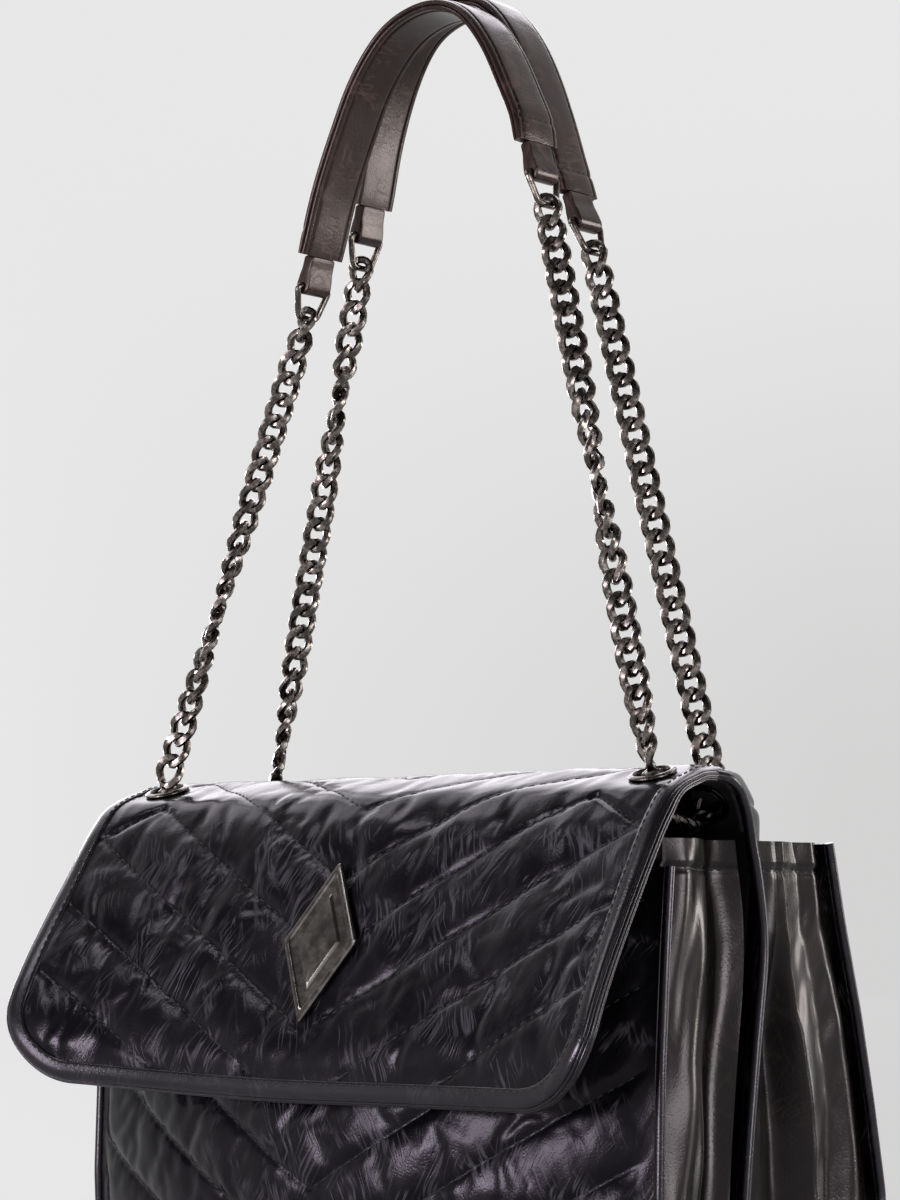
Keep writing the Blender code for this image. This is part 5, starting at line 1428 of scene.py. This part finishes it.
def curb_link(pitch):
    """One link: an oval of cosine and sine, turned about its length in proportion to the
    height by the twist, with a round wire whose far faces are cut flat."""
    reach, half = pitch / 2 + WIRE, LINK_WIDTH / 2 - WIRE
    t = round_turns(20)
    wide = half * np.sign(np.cos(t)) * np.abs(np.cos(t)) ** 0.85
    tall = reach * np.sign(np.sin(t)) * np.abs(np.sin(t)) ** 0.95
    turn = LINK_TWIST * tall / reach
    path = np.stack([wide * np.cos(turn), wide * np.sin(turn), tall], 1)
    run = unit(np.roll(path, -1, 0) - np.roll(path, 1, 0))
    away = square_to(run, unit(path * np.array([1, 1, 0.55])))
    turns = (round_turns(8) + math.pi / 8)[None, :, None]
    ring = np.cos(turns) * away[:, None] + np.sin(turns) * np.cross(run, away)[:, None]
    points = path[:, None] + WIRE * ring
    points[..., 1] = np.clip(points[..., 1], -LINK_FACE, LINK_FACE)
    return points.reshape(-1, 3), grid_faces(20, 8, wrap_rows=True, wrap_cols=True)


def chained(name, pitch, centre, along, wide, body, node):
    """Links with these middles, each along its run and turned to its own way across."""
    link, faces = curb_link(pitch)
    points = (centre[:, None] + link[None, :, :1] * wide[:, None]
              + link[None, :, 1:2] * np.cross(along, wide)[:, None]
              + link[None, :, 2:] * along[:, None])
    faces = faces[None] + (np.arange(len(centre)) * len(link))[:, None, None]
    piece = mesh_piece(name, points, faces.reshape(-1, 4), gunmetal, 38)
    placed(piece, "aged_gunmetal", body, node)


def link_run(name, low, high, turn_shares, body, node):
    """Links at even steps from low to high, each turned about the run as the table says."""
    count = int(round(np.linalg.norm(high - low) / LINK_PITCH))
    share = (np.arange(count) + 0.5) / count
    turn = np.radians(along_table(turn_shares, share))[:, None]
    along = unit(high - low)
    flat = unit(ACROSS - along * along[0])
    wide = np.cos(turn) * flat + np.sin(turn) * np.cross(along, flat)
    centre = low + (high - low) * share[:, None]
    chained(name, np.linalg.norm(high - low) / count, centre,
            np.broadcast_to(along, centre.shape), wide, body, node)


INNER_SAG = 0.0055
run_top = LINK_OVERHANG + STRAND_TAIL + FIT - HINGE_HEIGHT
for word in ("left", "right"):
    (front_at, front_out), (rear_at, rear_out) = seats[f"front_{word}"], seats[f"rear_{word}"]
    first = front_at - front_out * (run_top + LINK_PITCH)
    last = rear_at - rear_out * (run_top + LINK_PITCH)
    slump = np.array([0, 0, INNER_SAG])
    bends = np.array([front_at - front_out * run_top, first - slump, (first + last) / 2 - slump,
                      last - slump, rear_at - rear_out * run_top])
    run_path = even_path(bends, 0.0004, 6)
    size = np.linalg.norm(np.diff(run_path, axis=0), axis=1).sum()
    joints = even_path(run_path, size / int(round(size / LINK_PITCH)))
    along = unit(np.diff(joints, axis=0))
    chained(f"inner_links_{word}", LINK_PITCH, (joints[1:] + joints[:-1]) / 2, along,
            unit(ACROSS - along * along[:, :1]), "crown", f"inner_chain_{word}")

# Straps: a shoulder pad of two leather bands over a thin filling, narrowed to a tab at each
# end that folds round the top bar of a trapezoid wire ring; the ring holds the chain.
PAD_WIDTH, PAD_LAYER, PAD_HALF_LENGTH = 0.0235, 0.0018, 0.055
PAD_TOP, PAD_DROP, REAR_PAD_LIFT = 0.4895, 0.086, 0.0085
FRONT_PAD_Y = -0.0361
TAB_WIDTH, TAB_LENGTH, TAB_WALL = 0.0130, 0.0120, 0.0016
RING_WIRE, RING_HEIGHT, RING_FOOT, RING_CORNER = 0.00125, 0.0120, 0.0050, 0.0012
PAD_SEAM = 0.0090
tab_press_shares = (
    (-1, 0.90), (-0.985, 0.97), (-0.9, 1), (-0.72, 1), (0.72, 1), (0.9, 1), (0.985, 0.97),
    (1, 0.90),
)
front_pad_shares = (
    (-0.936, 0.994), (-0.80, 0.715), (-0.636, 0.471), (-0.455, 0.25), (-0.218, 0.081),
    (0.036, 0.006), (0.291, 0), (0.509, 0.07), (0.69, 0.215), (0.836, 0.40), (0.936, 0.541),
    (0.973, 0.657),
)
rear_pad_shares = (
    (-0.845, 0.826), (-0.745, 0.535), (-0.60, 0.279), (-0.427, 0.105), (-0.218, 0.023),
    (0.036, 0), (0.255, 0.023), (0.40, 0.087), (0.545, 0.209), (0.673, 0.372), (0.79, 0.57),
    (0.89, 0.767), (0.982, 0.93),
)


def arch_path(points, steps=12):
    """A smooth curve through points: each run is the cubic that leaves and meets its ends
    along the line between their neighbours."""
    path = np.asarray(points, float)
    longer = np.vstack([2 * path[0] - path[1], path, 2 * path[-1] - path[-2]])
    a, b, c, d = (longer[k:len(longer) - 3 + k, None] for k in range(4))
    t = np.linspace(0, 1, steps, endpoint=False)[None, :, None]
    curve = (2 * b + (c - a) * t + (2 * a - 5 * b + 4 * c - d) * t**2
             + (3 * b - a - 3 * c + d) * t**3) / 2
    return np.vstack([curve.reshape(-1, path.shape[1]), path[-1:]])


def pad_section(width, low, high, crown):
    """A band's section across, from its outer face to its inner one: crowned faces with a
    stitched groove in from each edge, and edges rounded with a painted bead. First number
    across the strap, second out from the pad's middle."""
    t = np.linspace(-1, 1, 41)
    groove = np.exp(-((np.abs(t) - 0.80) / 0.035) ** 2)
    swell = (1 - t**4) * crown - groove * 0.00045
    top = np.stack([t * (width / 2 - 0.0004), high - 0.0002 + swell], 1)
    bottom = np.stack([t[::-1] * (width / 2 - 0.0004), np.full(41, low)], 1)
    edge = np.linspace(high - 0.0004, low + 0.0003, 5)
    right = np.stack([np.full(5, width / 2) - 0.00015 * np.array([1, 0, 0, 0, 1]), edge], 1)
    left = right[::-1] * np.array([-1, 1])
    return np.concatenate([top, right, bottom, left])


def pad_band(name, arch, y, full, body, node, sewn=False):
    """A band's section carried along the pad's arch, its across way along the strap's width.
    The band is thinner where it is skived towards its ends. A sewn one has a line of stitches
    near each edge and across each end, where the seam draws it in."""
    centre = np.stack([arch[:, 0], np.full(len(arch), y), arch[:, 1]], 1)
    out = np.cross(unit(np.gradient(centre, axis=0)), [0.0, 1.0, 0.0])
    size = run_lengths(centre)
    ends = np.minimum(size, size[-1] - size)
    section = np.broadcast_to(full, (len(ends), *full.shape)).copy()
    section[..., 1:] *= 1 - 0.25 * np.exp(-ends / 0.004)[:, None, None]
    if sewn:
        seam = np.exp(-((ends - PAD_SEAM) / 0.0009) ** 2)[:, None, None]
        section[..., 1:] -= 0.00045 * seam * (full[None, :, 1:] > 0.001)
    points = centre[:, None] + out[:, None] * section[..., 1:]
    points = points + np.array([0, 1.0, 0]) * section[..., :1]
    if sewn:
        inner = ends > 0.004
        lines = [(points[inner, at], out[inner]) for at in (4, 36)]
        for place in (PAD_SEAM, size[-1] - PAD_SEAM):
            row = int(np.argmin(np.abs(size - place)))
            lines.append((points[row, 5:36], np.repeat(out[row][None], 31, 0)))
        stitched(f"{name}_stitching", lines, "pad_leather", body, 0.0024, 0.0007, 0.0003)
    points = capped(points)
    piece = mesh_piece(name, points, grid_faces(*points.shape[:2], wrap_cols=True), pad_hide,
                       46, weld=True)
    placed(piece, "pad_leather", body, node)


def ring_piece(name, head, along, body, node):
    """The trapezoid ring: a round wire along four sides whose corners are arcs."""
    foot = head - along * RING_HEIGHT
    wide = np.array([0.0, 1.0, 0.0])
    top_half = TAB_WIDTH / 2 + RING_WIRE + RING_CORNER
    corners = [head - wide * top_half, head + wide * top_half,
               foot + wide * RING_FOOT, foot - wide * RING_FOOT]
    path = even_path(softened(corners, 0.0022, 6), 0.0009, 0, closed=True)
    turns = round_turns(14)
    wire = np.stack([RING_WIRE * np.cos(turns), RING_WIRE * np.sin(turns)], 1)
    piece = swept(name, path, np.cross(along, wide), wire, gunmetal, closed=True)
    placed(piece, "aged_gunmetal", body, node)
    return foot


def tab_piece(name, head, along, body, node):
    """The tab: a strip of hide folded round the ring's bar, its two ends laid together and
    sewn to the pad. Its section is a loop round the bar, carried across the strap."""
    out = np.cross(along, [0.0, -1.0, 0.0])
    inner = RING_WIRE + FIT
    half = PAD_LAYER + FIT
    bend = np.linspace(math.pi, 2 * math.pi, 15)
    outer = [((inner + TAB_WALL) * math.cos(t), (inner + TAB_WALL) * math.sin(t)) for t in bend]
    outer += [(half + 0.0006, TAB_LENGTH * 0.34), (half, TAB_LENGTH * 0.6), (half, TAB_LENGTH)]
    outer += [(-half, TAB_LENGTH), (-half, TAB_LENGTH * 0.6), (-half - 0.0006, TAB_LENGTH * 0.34)]
    outer = even_path(outer, 0.0009, 1, closed=True)
    turns = np.arctan2(outer[:, 1], outer[:, 0])
    hole = inner * np.stack([np.cos(turns), np.sin(turns)], 1)
    rings = []
    for place, share in (*tab_press_shares, (1, 0), (-1, 0)):
        rim = hole + (outer - hole) * share
        shift = np.array([0, place * TAB_WIDTH / 2, 0])
        rings.append(head + rim[:, :1] * out + rim[:, 1:] * along + shift)
    points = np.stack(rings)
    faces = grid_faces(*points.shape[:2], wrap_rows=True, wrap_cols=True)
    placed(mesh_piece(name, points, faces, pad_hide, 50), "pad_leather", body, node)


outer_section = pad_section(PAD_WIDTH, 0.0001, PAD_LAYER + 0.0002, 0.0009)
facing_section = pad_section(PAD_WIDTH - 0.0006, 0.0001, PAD_LAYER + 0.0001, 0.0004)
facing_section = (facing_section * np.array([1, -1]))[::-1]
for end, shares, pad_y, lift in (
    ("front", front_pad_shares, FRONT_PAD_Y, 0.0),
    ("rear", rear_pad_shares, FRONT_PAD_Y + PAD_WIDTH + FIT, REAR_PAD_LIFT),
):
    body = f"{end}_strap"
    outline = np.array(shares) * np.array([PAD_HALF_LENGTH, -PAD_DROP])
    outline[:, 1] += PAD_TOP + lift
    arch = even_path(arch_path(outline), 0.0011, 3)
    pad_band(f"{end}_pad_band", arch, pad_y, outer_section, body, f"{end}_pad_leather",
             sewn=True)
    pad_band(f"{end}_pad_facing", arch, pad_y, facing_section, body, f"{end}_pad_lining")
    rough = even_path(arch_path(outline), 0.0128)
    for word, tip, inner in (("left", arch[0], rough[1]), ("right", arch[-1], rough[-2])):
        tip = np.array([tip[0], pad_y, tip[1]])
        along = unit(np.array([inner[0], pad_y, inner[1]]) - tip)
        head = tip - along * TAB_LENGTH
        tab_piece(f"{end}_tab_{word}", head, along, body, f"{end}_pad_tab_{word}")
        foot = ring_piece(f"{end}_wire_ring_{word}", head, along, body, f"{end}_ring_{word}")
        place, facing = seats[f"{end}_{word}"]
        root = place + facing * HINGE_HEIGHT
        rise = unit(foot - root)
        low = root + rise * (LINK_OVERHANG - STRAND_TAIL)
        high = foot + rise * (2 * 0.00138 + RING_WIRE + FIT - LINK_OVERHANG)
        link_run(f"{end}_links_{word}", low, high, strand_turn_shares[f"{end}_{word}"], body,
                 f"{end}_chain_{word}")

# Emblem: a plain lozenge plate of brushed gunmetal with a bevelled rim and a shallow raised
# field, held by two posts through the flap that are spread over washers. The plate is its
# outline drawn in by the share of each level, and raised to that level's height.
EMBLEM_WIDTH, EMBLEM_HEIGHT = 0.034, 0.062
POST_RADIUS, POST_SPREAD, POST_WASHER = 0.0013, 0.036, 0.0042
emblem_up = unit(np.array([0, *(high_point - low_point)]))
emblem_out = np.cross(ACROSS, emblem_up)
emblem_at = np.array([0, *((low_point + high_point) / 2)]) + emblem_out * FIT
plate_levels = (
    (0.0, 0.0), (0.975, 0.0), (1.0, 0.00035), (1.0, 0.0014), (0.972, 0.0020), (0.90, 0.0022),
    (0.86, 0.0021), (0.82, 0.00165), (0.60, 0.00165), (0.565, 0.0021), (0.53, 0.0024),
    (0.30, 0.0026), (0.0, 0.0027),
)
corner_points = np.array([(1, 0), (0, 1), (-1, 0), (0, -1)])
corner_points = corner_points * (EMBLEM_WIDTH / 2, EMBLEM_HEIGHT / 2)
outline = even_path(softened(corner_points, 0.0012, 5), 0.0016, 0, closed=True)
points = np.stack([
    emblem_at + ACROSS * outline[:, :1] * share + emblem_up * outline[:, 1:] * share
    + emblem_out * level
    for share, level in plate_levels
])
plate = mesh_piece("lozenge_plate", points, grid_faces(*points.shape[:2], wrap_cols=True),
                   plate_metal, 22, weld=True)
placed(plate, "aged_gunmetal", "front_flap", "emblem_plate")
post_end = -FLAP_WALL - WASHER
post_profile = [(0, 0.0002), (POST_RADIUS, 0.0002), (POST_RADIUS, post_end),
                (POST_RADIUS + 0.0005, post_end - 0.0001), (POST_RADIUS, post_end - 0.0006),
                (0, post_end - 0.0008)]
post_washer = washer_profile(POST_RADIUS + FIT, POST_WASHER, FLAP_WALL)
for side, word in ((1, "upper"), (-1, "lower")):
    foot = emblem_at - emblem_out * FIT + emblem_up * side * POST_SPREAD / 2
    turned_piece(f"plate_washer_{word}", post_washer, foot, emblem_out, gunmetal, "front_flap",
                 f"emblem_washer_{word}")
    turned_piece(f"plate_post_{word}", post_profile, foot, emblem_out, gunmetal, "front_flap",
                 "emblem_plate")

# Magnetic snap: a plated socket on the front wall and a stud inside the flap's hem.
SNAP_RADIUS, SOCKET_BORE, SOCKET_HEIGHT = 0.0076, 0.0034, 0.0030
STUD_HEIGHT, NUB_RADIUS, NUB_LENGTH = 0.0024, 0.0022, 0.0011
snap_low, snap_high = (np.array([0, front_y(0.0, edge), edge]) for edge in snap_edges)
turned_piece(
    "snap_socket",
    softened([(0, FIT + 0.001), (SOCKET_BORE, FIT + 0.001), (SOCKET_BORE, FIT + SOCKET_HEIGHT),
              (SNAP_RADIUS - 0.0012, FIT + SOCKET_HEIGHT), (SNAP_RADIUS, FIT + SOCKET_HEIGHT * 0.6),
              (SNAP_RADIUS, FIT), (0.0012, FIT), (0.0012, -LEATHER), (0, -LEATHER)],
             0.0004, 4, closed=False),
    (snap_low + snap_high) / 2, unit(np.cross(ACROSS, snap_high - snap_low)), plate_metal,
    "bag_body", "magnet_socket",
)
stud_up = unit(np.array([0, *(snap_point - hem_point)]))
stud_top = FLAP_WALL + STUD_HEIGHT
turned_piece(
    "snap_stud",
    softened([(0, stud_top + NUB_LENGTH), (NUB_RADIUS, stud_top + NUB_LENGTH),
              (NUB_RADIUS, stud_top), (SNAP_RADIUS - 0.0012, stud_top),
              (SNAP_RADIUS, stud_top - 0.0009), (SNAP_RADIUS, FLAP_WALL), (0.0012, FLAP_WALL),
              (0.0012, FLAP_WALL - 0.0015), (0, FLAP_WALL - 0.0015)], 0.0004, 4, closed=False),
    np.array([0, *(hem_point + (snap_point - hem_point) * 0.55)]), -np.cross(ACROSS, stud_up),
    plate_metal, "front_flap", "magnet_stud",
)
for node in ("magnet_socket_plate", "magnet_stud_plate"):
    repainted(node, gunmetal)
